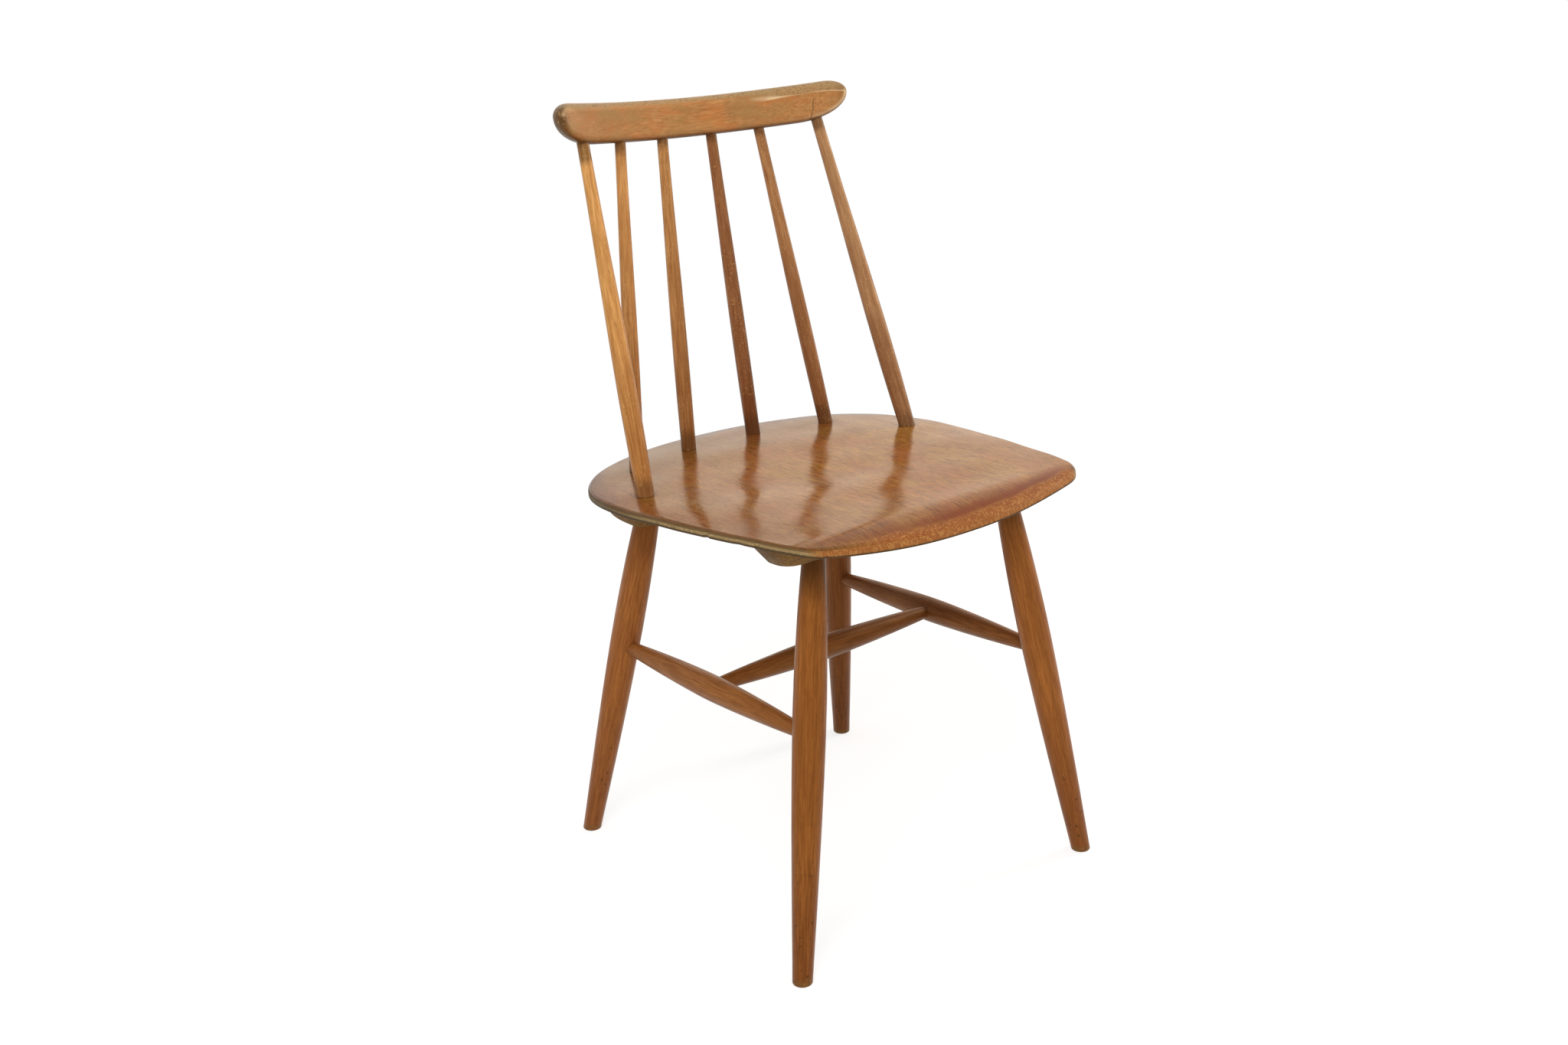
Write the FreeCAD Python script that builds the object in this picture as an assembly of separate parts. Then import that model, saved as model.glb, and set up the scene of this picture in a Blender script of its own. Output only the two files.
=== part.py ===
import FreeCAD, Part
import math
import os

# Dining chair with a spindle back and a moulded plywood seat. Millimetres.
# Origin on the floor under the middle of the seat. +X to the right as the
# photograph shows it, -Y is the way a sitter faces, +Z is up.

Vec = FreeCAD.Vector

# Shared fits
glue_line = 0.15          # gap left for glue round every bored joint
foot_arris = 1.5          # rounding at the floor end of a leg
cut_reach = 100.0         # how far cutting shapes reach past what they cut
same_place = 0.01         # points nearer than this count as one
seat_sheet_margin = 8.0   # the moulded surface is this much larger than the panel

# Seat panel: moulded plywood, lower at the back, rolled down at the front
seat_width = 450.0
seat_depth = 470.0
seat_height = 451.8       # top of the seat plane above the floor, at the origin
seat_tilt = 3.23          # degrees, back edge low
veneer_thickness = 1.2
core_thickness = 6.1
front_roll_length = 50.0  # from the crest of the seat to the front edge
front_roll_drop = 13.8
corner_lift = 2.5         # front corners stand a little above the seat plane
seat_crown = 4.5          # the seat stands this much above its rim, behind the front
crown_squareness = 2.7    # of the crown in plan, 2 is an ellipse
crown_fullness = 6.0      # how late the crown falls away to the rim
dish_depth = 5.0
dish_centre_y = -30.0
dish_width = 400.0
dish_length = 320.0
# Half outline of the seat, back centre to front centre: shares of half the
# width and of half the depth
seat_outline = [
    (0.0, 1.0), (0.544, 0.901), (0.788, 0.753), (0.950, 0.525), (1.0, 0.230),
    (0.968, -0.164), (0.918, -0.508), (0.867, -0.747), (0.839, -0.832),
    (0.784, -0.895), (0.680, -0.931), (0.277, -0.991), (0.0, -1.0),
]

# Legs: turned, all four alike. The axes are placed at the floor and at the
# lower face of the wood that carries them, in from the sides of the seat and
# from its front or back edge
leg_places = {
    "front": {"foot_in": 21.1, "foot_from_edge": 28.1, "top_in": 94.7, "top_from_edge": 83.3},
    "rear": {"foot_in": 31.9, "foot_from_edge": 28.1, "top_in": 94.3, "top_from_edge": 102.5},
}
leg_belly_height = 266.5
leg_belly_radius = 17.1
leg_foot_radius = 10.3
leg_neck_radius = 12.8
leg_neck_rise = 143.5     # from the belly up to the neck
leg_taper_power = 1.5     # how late the taper to the foot sets in
leg_socket_depth = 15.0
leg_blank_spare = 12.0    # length of the blank that is cut off at the floor

# Stretchers: turned, thin at the ends and fuller in the middle
side_stretcher_front_height = 252.0
side_stretcher_rear_height = 239.2
side_stretcher_end_radius = 6.4
side_stretcher_belly_radius = 14.0
cross_stretcher_end_radius = 6.5
cross_stretcher_belly_radius = 13.6
belly_power = 1.6         # how full the stretchers are between end and middle
side_tenon_stop = 2.0     # from the tenon's end to the leg's axis
cross_tenon_stop = 4.0    # from the tenon's end to the side stretcher's axis

# Front batten and crescent-shaped rear block under the seat
front_batten_end_in = 44.5  # in from the widest line of the seat, lower face
front_batten_width = 44.0
front_batten_thickness = 19.0
front_batten_corner = 18.0
front_batten_flare = 19.0
front_batten_side_flare = 2.0
front_batten_spare = 1.5  # height of its blank above the lifted front corners
rear_block_thickness = 16.5
rear_block_inset = 20.0   # in from the seat's edge
rear_block_depth = 80.0   # at the middle of the back
rear_block_arm = 40.0     # width of each arm at its front end
rear_block_length = 192.0  # from the seat's back edge to the arm ends
rear_block_corner = 12.0

# Crest rail: curved in plan, bowed up at the ends, leaning back
rail_length = 396.4       # along the curve
rail_height = 42.5
rail_thickness = 20.2
rail_curve_radius = 450.0
rail_bottom_height = 788.5
rail_from_back = 19.0     # its middle, forward of the seat's back edge
rail_lean = 4.6           # degrees
rail_skew = 1.25          # degrees, the right end sits a little low
rail_end_rise = 8.3
rail_low_corner_length = 54.7
rail_low_corner_height = 28.0
rail_top_corner_length = 22.3
rail_low_corner_fullness = 0.55  # 0.55 is a quarter of an ellipse, more is squarer
rail_top_corner_fullness = 0.65
rail_edge_radius = 6.0
rail_socket_depth = 20.0

# Spindles, one entry for each pair: where it stands in the seat, in from the
# side and from the back edge, how far from the rail's middle the left and the
# right one meet it, and the radii at the rail, half way, where it is fullest
# and at the seat
spindle_pairs = {
    "outer": {"from_side": 41.6, "from_back": 173.0, "at_rail": (155.0, 164.0),
              "radii": (6.5, 9.4, 10.0, 9.3)},
    "second": {"from_side": 90.7, "from_back": 82.7, "at_rail": (96.4, 92.1),
               "radii": (5.9, 8.1, 8.6, 8.3)},
    "inner": {"from_side": 179.0, "from_back": 56.7, "at_rail": (35.2, 30.8),
              "radii": (6.0, 8.15, 8.6, 8.4)},
}
spindle_block_depth = 11.0
spindle_full_share = 0.12  # share of the length above the seat where it is fullest

# Slotted countersunk wood screws that hold the seat down on the wood below it
screw_head_radius = 4.0
screw_shank_radius = 1.9
screw_slot_width = 1.0
screw_slot_depth = 1.0
screw_rim = 0.4           # straight edge of the head below its cone
screw_point = 4.0
screw_cover = 2.2         # plywood left above the screw's point
screw_clearance = 0.3     # room round a screw in its hole
front_screw_spacing = 80.0
rear_middle_screw_from_back = 42.0
rear_screw_pairs = [(133.0, 60.0), (51.0, 136.0)]  # in from the side, from the back edge

seat_half_width = seat_width / 2
seat_half_depth = seat_depth / 2
seat_thickness = core_thickness + 2 * veneer_thickness
rail_y = seat_half_depth - rail_from_back


def seat_to_world(point):
    # The seat panel is drawn level, then tilted about its X axis and lifted
    tilted = FreeCAD.Rotation(Vec(1, 0, 0), -seat_tilt).multVec(point)
    return tilted + Vec(0, 0, seat_height)


def place_on_seat(shape):
    placed = shape.copy()
    placed.rotate(Vec(0, 0, 0), Vec(1, 0, 0), -seat_tilt)
    placed.translate(Vec(0, 0, seat_height))
    return placed


def clamp(value):
    return max(0.0, min(1.0, value))


def rim_share(x, y):
    # 0 at the middle of the seat, about 1 all round its sides and back
    across = abs(x / seat_half_width) ** crown_squareness
    along = abs(y / seat_half_depth) ** crown_squareness
    return (across + along) ** (1 / crown_squareness)


def seat_rise(x, y):
    # Height of the seat's top over its own plane at a level place x, y
    crest_y = -seat_half_depth + front_roll_length
    past_crest = max(0.0, crest_y - y)
    roll = front_roll_drop * (past_crest / front_roll_length) ** 2
    forward = clamp((-y - seat_half_depth / 4) / (seat_half_depth / 2))
    forward = forward ** 2 * (3 - 2 * forward)
    lift = corner_lift * abs(x / seat_half_width) ** 4 * forward
    across = clamp(1 - abs(2 * x / dish_width))
    along = clamp(1 - abs(2 * (y - dish_centre_y) / dish_length))
    dish = dish_depth * math.sin(across * math.pi / 2) ** 2 * math.sin(along * math.pi / 2) ** 2
    crown = seat_crown * (1 - rim_share(x, y) ** crown_fullness) * (1 - forward)
    return crown + lift - dish - roll


def seat_sheet(drop):
    # The seat's top surface as one smooth face, a little larger than the panel
    steps = 24
    grid = []
    for i in range(steps + 1):
        x = (2 * i / steps - 1) * (seat_half_width + seat_sheet_margin)
        row = []
        for j in range(steps + 1):
            y = (2 * j / steps - 1) * (seat_half_depth + seat_sheet_margin)
            row.append(Vec(x, y, seat_rise(x, y) - drop))
        grid.append(row)
    surface = Part.BSplineSurface()
    surface.interpolate(grid)
    return surface.toShape()


def outline_curve():
    right = [Vec(a * seat_half_width, b * seat_half_depth, 0) for a, b in seat_outline]
    left = [Vec(-p.x, p.y, 0) for p in reversed(right[1:-1])]
    curve = Part.BSplineCurve()
    curve.interpolate(right + left, PeriodicFlag=True)
    return curve


def outline_wire(inset=0.0):
    # The seat's outline, or a line that runs inside it at a distance
    curve = outline_curve()
    if inset > 0:
        steps = 32
        span = curve.LastParameter - curve.FirstParameter
        points = []
        for i in range(steps):
            place, along = curve.getD1(curve.FirstParameter + span * i / steps)
            inward = Vec(along.y, -along.x, 0).normalize()
            points.append(place + inward * inset)
        curve = Part.BSplineCurve()
        curve.interpolate(points, PeriodicFlag=True)
    return Part.Wire([curve.toShape()])


def prism(wire, low, high):
    flat = wire.copy()
    flat.translate(Vec(0, 0, low))
    return Part.Face(flat).extrude(Vec(0, 0, high - low))


def seat_layer(top_drop, thickness):
    # One layer of the plywood, cut to the outline and still level
    slab = seat_sheet(top_drop).extrude(Vec(0, 0, -thickness))
    return slab.common(prism(outline_wire(), -cut_reach, cut_reach))


def under_seat(shape):
    # Cuts away what would reach into the seat panel above
    above = seat_sheet(seat_thickness + glue_line).extrude(Vec(0, 0, cut_reach))
    return shape.cut(above)


def turned(start, end, radii, grow=0.0):
    # A turned piece from start to end: radii are (share of the length, radius)
    axis = end - start
    length = axis.Length
    profile = [Vec(radius + grow, 0, share * length) for share, radius in radii]
    curve = Part.BSplineCurve()
    curve.interpolate(profile)
    low = Vec(0, 0, profile[0].z)
    high = Vec(0, 0, profile[-1].z)
    edges = [
        Part.makeLine(low, profile[0]),
        curve.toShape(),
        Part.makeLine(profile[-1], high),
        Part.makeLine(high, low),
    ]
    solid = Part.Face(Part.Wire(edges)).revolve(Vec(0, 0, 0), Vec(0, 0, 1), 360)
    solid = Part.Solid(solid) if solid.ShapeType != "Solid" else solid
    spin = FreeCAD.Rotation(Vec(0, 0, 1), axis)
    solid.Placement = FreeCAD.Placement(start, spin)
    return solid


def under_seat_height(y, drop):
    # World height of a plane that runs below the seat plane
    return seat_height - y * math.tan(math.radians(seat_tilt)) - drop


def leg_axis(side, row):
    # Floor point and top point of a leg's axis: side is -1 or 1, row is front or rear
    sizes = leg_places[row]
    board = front_batten_thickness if row == "front" else rear_block_thickness
    way = -1 if row == "front" else 1
    foot_x = side * (seat_half_width - sizes["foot_in"])
    foot_y = way * (seat_half_depth - sizes["foot_from_edge"])
    top_x = side * (seat_half_width - sizes["top_in"])
    top_y = way * (seat_half_depth - sizes["top_from_edge"])
    top_z = under_seat_height(top_y, seat_thickness + board)
    return Vec(foot_x, foot_y, 0), Vec(top_x, top_y, top_z)


def at_height(foot, top, height):
    return foot + (top - foot) * (height / top.z)


def leg_radius(height):
    if height > leg_belly_height:
        swell = (height - leg_belly_height) / leg_neck_rise
        return leg_belly_radius - (leg_belly_radius - leg_neck_radius) * swell ** 2
    taper = min(1.0, (leg_belly_height - height) / leg_belly_height)
    return leg_belly_radius - (leg_belly_radius - leg_foot_radius) * taper ** leg_taper_power


def leg_blank(side, row, grow=0.0):
    foot, top = leg_axis(side, row)
    top_height = top.z + leg_socket_depth + grow
    start = at_height(foot, top, -leg_blank_spare)
    end = at_height(foot, top, top_height)
    steps = 14
    radii = []
    for i in range(steps + 1):
        share = i / steps
        height = -leg_blank_spare + share * (top_height + leg_blank_spare)
        radii.append((share, leg_radius(height)))
    return turned(start, end, radii, grow)


def leg(side, row, socket):
    # Cut off level at the floor, rounded there and bored for its stretcher
    foot, top = leg_axis(side, row)
    wide = 4 * leg_belly_radius
    below_floor = Part.makeBox(wide, wide, wide, foot - Vec(wide / 2, wide / 2, wide))
    shape = leg_blank(side, row).cut(below_floor)
    rim = [edge for edge in shape.Edges if edge.BoundBox.ZMax < same_place]
    shape = shape.makeFillet(foot_arris, rim)
    return shape.cut(socket)


def belly_radii(end_radius, belly_radius, first, last):
    # Shares run from axis to axis; the piece covers only first to last
    steps = 12
    radii = []
    for i in range(steps + 1):
        share = i / steps
        along = first + share * (last - first)
        fullness = 1 - abs(2 * along - 1) ** belly_power
        radii.append((share, end_radius + (belly_radius - end_radius) * fullness))
    return radii


def stretcher(start, end, stop, radii, grow=0.0):
    length = (end - start).Length
    first = (stop - grow) / length
    last = 1 - first
    low = start + (end - start) * first
    high = start + (end - start) * last
    return turned(low, high, belly_radii(*radii, first, last), grow)


def side_stretcher_ends(side):
    rear = at_height(*leg_axis(side, "rear"), side_stretcher_rear_height)
    front = at_height(*leg_axis(side, "front"), side_stretcher_front_height)
    return rear, front


def side_stretcher(side, grow=0.0):
    rear, front = side_stretcher_ends(side)
    radii = (side_stretcher_end_radius, side_stretcher_belly_radius)
    return stretcher(rear, front, side_tenon_stop, radii, grow)


def cross_stretcher(grow=0.0):
    left_rear, left_front = side_stretcher_ends(-1)
    right_rear, right_front = side_stretcher_ends(1)
    left = (left_rear + left_front) * 0.5
    right = (right_rear + right_front) * 0.5
    radii = (cross_stretcher_end_radius, cross_stretcher_belly_radius)
    return stretcher(left, right, cross_tenon_stop, radii, grow)


def rail_to_world(point):
    skew = FreeCAD.Rotation(Vec(0, 1, 0), rail_skew)
    lean = FreeCAD.Rotation(Vec(1, 0, 0), -rail_lean)
    return lean.multVec(skew.multVec(point)) + Vec(0, rail_y, rail_bottom_height)


def rail_bow(x):
    half = rail_length / 2
    return rail_end_rise * (x / half) ** 2


def rail_corner(x0, z0, slope, x1, z1, fullness):
    # Rounded end stretch, in line with the long edge at x0 and upright at x1
    start = Vec(x0, 0, z0)
    end = Vec(x1, 0, z1)
    along = Vec(1, 0, slope) * (x1 - x0) * fullness
    upright = Vec(0, 0, z1 - z0) * fullness
    curve = Part.BezierCurve()
    curve.setPoles([start, start + along, end - upright, end])
    return curve.toShape()


def rail_front_outline():
    # Elevation of the rail: bowed edges, long low corners, short top corners
    half = rail_curve_radius * math.sin(rail_length / 2 / rail_curve_radius)
    low_x = half - rail_low_corner_length
    top_x = half - rail_top_corner_length
    nose_z = rail_bow(half) + rail_low_corner_height
    low_z = rail_bow(low_x)
    top_z = rail_height + rail_bow(top_x)
    low_slope = 2 * low_z / low_x
    top_slope = 2 * (top_z - rail_height) / top_x
    low_right = rail_corner(low_x, low_z, low_slope, half, nose_z, rail_low_corner_fullness)
    top_right = rail_corner(top_x, top_z, top_slope, half, nose_z, rail_top_corner_fullness)
    mirror = FreeCAD.Matrix()
    mirror.scale(-1, 1, 1)
    low_left = low_right.transformGeometry(mirror)
    top_left = top_right.transformGeometry(mirror)
    low_edge = Part.Arc(Vec(-low_x, 0, low_z), Vec(0, 0, 0), Vec(low_x, 0, low_z)).toShape()
    top_edge = Part.Arc(Vec(-top_x, 0, top_z), Vec(0, 0, rail_height), Vec(top_x, 0, top_z)).toShape()
    edges = [low_edge, low_right, top_right, top_edge, top_left, low_left]
    return Part.Wire(Part.__sortEdges__(edges))


def crest_rail():
    # The outline sawn through a board that is bent to an arc, its rims rounded
    face = Part.Face(rail_front_outline())
    face.translate(Vec(0, -rail_curve_radius, 0))
    board = face.extrude(Vec(0, 2 * rail_curve_radius, 0))
    centre = Vec(0, -rail_curve_radius, -cut_reach)
    outer = Part.makeCylinder(rail_curve_radius + rail_thickness / 2, 3 * cut_reach, centre)
    inner = Part.makeCylinder(rail_curve_radius - rail_thickness / 2, 3 * cut_reach, centre)
    rail = board.common(outer.cut(inner)).Solids[0]
    rims = [edge for edge in rail.Edges if rail_rim(edge)]
    rail = rail.makeFillet(rail_edge_radius, rims)
    rail.rotate(Vec(0, 0, 0), Vec(0, 1, 0), rail_skew)
    rail.rotate(Vec(0, 0, 0), Vec(1, 0, 0), -rail_lean)
    rail.translate(Vec(0, rail_y, rail_bottom_height))
    return rail


def rail_rim(edge):
    # True for the edges that lie wholly on the front or the back face
    middle = edge.valueAt((edge.FirstParameter + edge.LastParameter) / 2)
    ends = [edge.valueAt(edge.FirstParameter), edge.valueAt(edge.LastParameter)]
    for radius in (rail_curve_radius - rail_thickness / 2, rail_curve_radius + rail_thickness / 2):
        reach = [abs(math.hypot(p.x, p.y + rail_curve_radius) - radius) for p in ends + [middle]]
        if max(reach) < same_place:
            return True
    return False


def spindle_ends(side, pair):
    # Where the axis meets the seat's top and the rail's lower edge
    sizes = spindle_pairs[pair]
    x = seat_half_width - sizes["from_side"]
    y = seat_half_depth - sizes["from_back"]
    low = seat_to_world(Vec(side * x, y, seat_rise(x, y)))
    at_left, at_right = sizes["at_rail"]
    turn = (at_left if side < 0 else at_right) / rail_curve_radius
    x = rail_curve_radius * math.sin(turn)
    y = rail_curve_radius * (math.cos(turn) - 1)
    high = rail_to_world(Vec(side * x, y, rail_bow(x)))
    return low, high


def spindle(side, pair, grow=0.0):
    low, high = spindle_ends(side, pair)
    span = high - low
    way = span * (1 / span.Length)
    at_rail, middle, full, at_seat = spindle_pairs[pair]["radii"]
    below = seat_thickness + spindle_block_depth + grow
    above = rail_socket_depth + grow
    start = low - way * below
    end = high + way * above
    length = below + span.Length + above
    radii = [(0.0, at_seat)]
    for share, radius in ((0.0, at_seat), (spindle_full_share, full), (0.5, middle), (1.0, at_rail)):
        radii.append(((below + share * span.Length) / length, radius))
    radii.append((1.0, at_rail))
    return turned(start, end, radii, grow)


def rounded_wire(half_x, y_low, y_high, corner, z):
    corners = [(-half_x, y_low), (half_x, y_low), (half_x, y_high), (-half_x, y_high)]
    points = [Vec(x, y, z) for x, y in corners]
    edges = []
    bend = corner * (1 - math.sqrt(0.5))
    for i, point in enumerate(points):
        after = points[(i + 1) % 4]
        before = points[i - 1]
        out = (after - point).normalize()
        back = (before - point).normalize()
        start = point + back * corner
        end = point + out * corner
        edges.append(Part.Arc(start, point + (out + back) * bend, end).toShape())
        inward = (point - after).normalize()
        edges.append(Part.makeLine(end, after + inward * corner))
    return Part.Wire(edges)


def front_batten_y():
    # The batten lies along the front legs, at the middle of its thickness
    foot, top = leg_axis(1, "front")
    return at_height(foot, top, top.z + front_batten_thickness / 2).y


def front_batten():
    low_z = -seat_thickness - front_batten_thickness
    high_z = -seat_thickness + corner_lift + front_batten_spare
    middle = front_batten_y()
    half = front_batten_width / 2
    reach = seat_half_width - front_batten_end_in
    low = rounded_wire(reach, middle - half, middle + half, front_batten_corner, low_z)
    wide = half + front_batten_side_flare
    reach = reach + front_batten_flare
    high = rounded_wire(reach, middle - wide, middle + wide, front_batten_corner, high_z)
    return under_seat(Part.makeLoft([low, high], True, True))


def rear_block():
    low_z = -seat_thickness - rear_block_thickness
    blank = prism(outline_wire(rear_block_inset), low_z, 0.0)
    # Hollow of the crescent: a circle through its middle and its two arm ends
    front_y = seat_half_depth - rear_block_length
    crown_y = seat_half_depth - rear_block_inset - rear_block_depth
    sagitta = crown_y - front_y
    chord = seat_half_width - rear_block_inset - rear_block_arm
    radius = (chord ** 2 + sagitta ** 2) / (2 * sagitta)
    hollow = Part.makeCylinder(radius, 2 * cut_reach, Vec(0, crown_y - radius, -cut_reach))
    corner = Vec(-seat_width, front_y - seat_depth, -cut_reach)
    front = Part.makeBox(2 * seat_width, seat_depth, 2 * cut_reach, corner)
    block = blank.cut(hollow).cut(front)
    corners = [edge for edge in block.Edges if upright(edge, front_y)]
    block = block.makeFillet(rear_block_corner, corners)
    return under_seat(block)


def upright(edge, y):
    # True for an upright edge that stands at y
    start = edge.valueAt(edge.FirstParameter)
    end = edge.valueAt(edge.LastParameter)
    level = math.hypot(start.x - end.x, start.y - end.y) < same_place
    return level and abs(start.y - y) < same_place


def screw(x, y, board, grow=0.0):
    # A countersunk screw driven up through the board into the plywood
    low = -seat_thickness - board
    high = seat_rise(x, y) - screw_cover - veneer_thickness + grow
    head = screw_head_radius + grow
    shank = screw_shank_radius + grow
    cone = screw_head_radius - screw_shank_radius
    profile = [
        Vec(0, 0, low), Vec(head, 0, low), Vec(head, 0, low + screw_rim),
        Vec(shank, 0, low + screw_rim + cone), Vec(shank, 0, high - screw_point),
        Vec(0, 0, high), Vec(0, 0, low),
    ]
    solid = Part.Face(Part.makePolygon(profile)).revolve(Vec(0, 0, 0), Vec(0, 0, 1), 360)
    if grow == 0.0:
        reach = 2 * screw_head_radius
        corner = Vec(-reach, -screw_slot_width / 2, low - screw_slot_depth)
        slot = Part.makeBox(2 * reach, screw_slot_width, 2 * screw_slot_depth, corner)
        solid = solid.cut(slot)
    solid.translate(Vec(x, y, 0))
    return solid


def front_screws(grow=0.0):
    y = front_batten_y()
    places = [-front_screw_spacing, 0.0, front_screw_spacing]
    return [screw(x, y, front_batten_thickness, grow) for x in places]


def rear_screws(grow=0.0):
    y = seat_half_depth - rear_middle_screw_from_back
    screws = [screw(0.0, y, rear_block_thickness, grow)]
    for from_side, from_back in rear_screw_pairs:
        x = seat_half_width - from_side
        y = seat_half_depth - from_back
        screws += [screw(side * x, y, rear_block_thickness, grow) for side in (-1, 1)]
    return screws


def cut_all(shape, tools):
    # Bores only with the tools that reach into the shape
    near = [tool for tool in tools if tool.BoundBox.intersect(shape.BoundBox)]
    return shape.cut(near)


def save(name, shape):
    solids = shape.Solids
    if len(solids) == 1:
        shape = solids[0]
    print(name, "solids", len(solids), "valid", shape.isValid(), "volume", round(shape.Volume))
    shape.exportStep("parts/" + name + ".step")


def main():
    os.makedirs("parts", exist_ok=True)
    sides = {"left": -1, "right": 1}
    left_to_right = ["outer", "second", "inner"]
    spindle_order = [(-1, pair) for pair in left_to_right] + [(1, pair) for pair in reversed(left_to_right)]
    spindle_holes = [spindle(side, pair, glue_line) for side, pair in spindle_order]

    # Crest rail and spindles
    save("crest_rail", cut_all(crest_rail(), spindle_holes))
    for number, (side, pair) in enumerate(spindle_order, 1):
        save("back_spindle_" + str(number), spindle(side, pair))

    # Seat panel in three glued layers, bored for the spindles
    level_holes = front_screws(screw_clearance) + rear_screws(screw_clearance)
    screw_holes = [place_on_seat(hole) for hole in level_holes]
    layers = {
        "seat_face_veneer": seat_layer(0, veneer_thickness),
        "seat_core_plies": seat_layer(veneer_thickness, core_thickness),
        "seat_back_veneer": seat_layer(veneer_thickness + core_thickness, veneer_thickness),
    }
    for name, layer in layers.items():
        save(name, cut_all(place_on_seat(layer), spindle_holes + screw_holes))

    # Front batten and rear block, bored for legs, spindles and screws
    front_legs = [leg_blank(side, "front", glue_line) for side in sides.values()]
    rear_legs = [leg_blank(side, "rear", glue_line) for side in sides.values()]
    save("front_batten", cut_all(place_on_seat(front_batten()), front_legs + screw_holes))
    save("rear_block", cut_all(place_on_seat(rear_block()), rear_legs + spindle_holes + screw_holes))
    save("front_batten_screws", Part.makeCompound([place_on_seat(s) for s in front_screws()]))
    save("rear_block_screws", Part.makeCompound([place_on_seat(s) for s in rear_screws()]))

    # Legs
    for name, side in sides.items():
        socket = side_stretcher(side, glue_line)
        for row in ("front", "rear"):
            save("leg_" + row + "_" + name, leg(side, row, socket))

    # Stretchers
    cross_socket = cross_stretcher(glue_line)
    for name, side in sides.items():
        save("side_stretcher_" + name, side_stretcher(side).cut(cross_socket))
    save("cross_stretcher", cross_stretcher())


main()
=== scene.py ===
import math

import bmesh
import bpy
import numpy as np
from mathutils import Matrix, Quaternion, Vector


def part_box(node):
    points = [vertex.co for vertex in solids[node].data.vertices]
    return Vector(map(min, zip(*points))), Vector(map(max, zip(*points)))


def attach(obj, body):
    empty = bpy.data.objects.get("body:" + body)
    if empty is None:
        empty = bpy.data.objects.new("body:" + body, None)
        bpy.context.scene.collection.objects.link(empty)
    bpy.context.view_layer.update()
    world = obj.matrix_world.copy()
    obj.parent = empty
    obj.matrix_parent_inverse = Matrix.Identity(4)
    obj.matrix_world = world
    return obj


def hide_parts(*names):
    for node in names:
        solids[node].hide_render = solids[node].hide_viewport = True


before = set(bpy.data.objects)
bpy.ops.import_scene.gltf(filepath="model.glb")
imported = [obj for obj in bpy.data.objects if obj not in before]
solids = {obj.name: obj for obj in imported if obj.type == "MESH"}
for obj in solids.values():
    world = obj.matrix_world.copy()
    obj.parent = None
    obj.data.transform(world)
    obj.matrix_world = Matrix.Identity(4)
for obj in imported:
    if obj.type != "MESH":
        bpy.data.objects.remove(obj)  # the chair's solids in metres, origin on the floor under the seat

for leftover in ("Cube", "Light", "Camera"):  # what a new file may hold
    if leftover in bpy.data.objects:
        bpy.data.objects.remove(bpy.data.objects[leftover])
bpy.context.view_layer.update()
scene = bpy.context.scene
print("frame loaded:", len(solids), "solids")

# Camera

cameraView = {
    "place": (-1.1567, -1.4432, 1.0536),
    "heading": -37.497,  # degrees, 0 looks along +Y
    "dip": 19.663,       # degrees below the horizon
    "roll": -1.899,
    "lens": 41.299,      # mm, on a sensor 36 mm wide
}


def addObject(name, data):
    made = bpy.data.objects.new(name, data)
    scene.collection.objects.link(made)
    return made


def stand(piece, place, turn):
    piece.location = place
    piece.rotation_mode = "QUATERNION"
    piece.rotation_quaternion = turn


def addCamera(view):
    heading = math.radians(view["heading"])
    dip = math.radians(view["dip"])
    level = math.cos(dip)
    ahead = Vector((-math.sin(heading) * level, math.cos(heading) * level, -math.sin(dip)))
    lens = bpy.data.cameras.new("camera")
    lens.lens = view["lens"]
    lens.sensor_width = 36
    turn = ahead.to_track_quat("-Z", "Y") @ Quaternion((0, 0, 1), math.radians(view["roll"]))
    scene.camera = addObject("camera", lens)
    stand(scene.camera, view["place"], turn)


addCamera(cameraView)
print("camera placed")

# Small helpers for node trees


def feed(tree, socket, value):
    if isinstance(value, bpy.types.NodeSocket):
        tree.links.new(value, socket)
    else:
        socket.default_value = value


def addNode(tree, kind, inputs=None, **settings):
    made = tree.nodes.new(kind)
    for name, value in settings.items():
        setattr(made, name, value)
    for name, value in (inputs or {}).items():
        feed(tree, made.inputs[name], value)
    return made


def calc(tree, operation, a, b=0.0, clamp=False):
    made = addNode(tree, "ShaderNodeMath", {0: a, 1: b}, operation=operation, use_clamp=clamp)
    return made.outputs[0]


def times(tree, a, b):
    return calc(tree, "MULTIPLY", a, b)


def plus(tree, a, b):
    return calc(tree, "ADD", a, b)


def minus(tree, a, b):
    return calc(tree, "SUBTRACT", a, b)


def shift(tree, operation, a, b):
    return addNode(tree, "ShaderNodeVectorMath", {0: a, 1: b}, operation=operation).outputs["Vector"]


def stretch(tree, place, sizes):
    return shift(tree, "MULTIPLY", place, sizes)


def reach(tree, a, b):
    # distance between two places
    return addNode(tree, "ShaderNodeVectorMath", {0: a, 1: b}, operation="DISTANCE").outputs["Value"]


def fade(tree, value, low, high, start=0.0, end=1.0):
    # start below low, end above high, smooth in between
    inputs = {"Value": value, "From Min": low, "From Max": high, "To Min": start, "To Max": end}
    made = addNode(tree, "ShaderNodeMapRange", inputs, interpolation_type="SMOOTHSTEP")
    return made.outputs["Result"]


def cloud(tree, place, scale, detail=2.0, roughness=0.5, distortion=0.0):
    inputs = {"Vector": place, "Scale": scale, "Detail": detail}
    inputs["Roughness"] = roughness
    inputs["Distortion"] = distortion
    return addNode(tree, "ShaderNodeTexNoise", inputs).outputs[0]


def colourOf(soft):
    # a cloud's three values in place of its one
    return soft.node.outputs["Color"]


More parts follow.
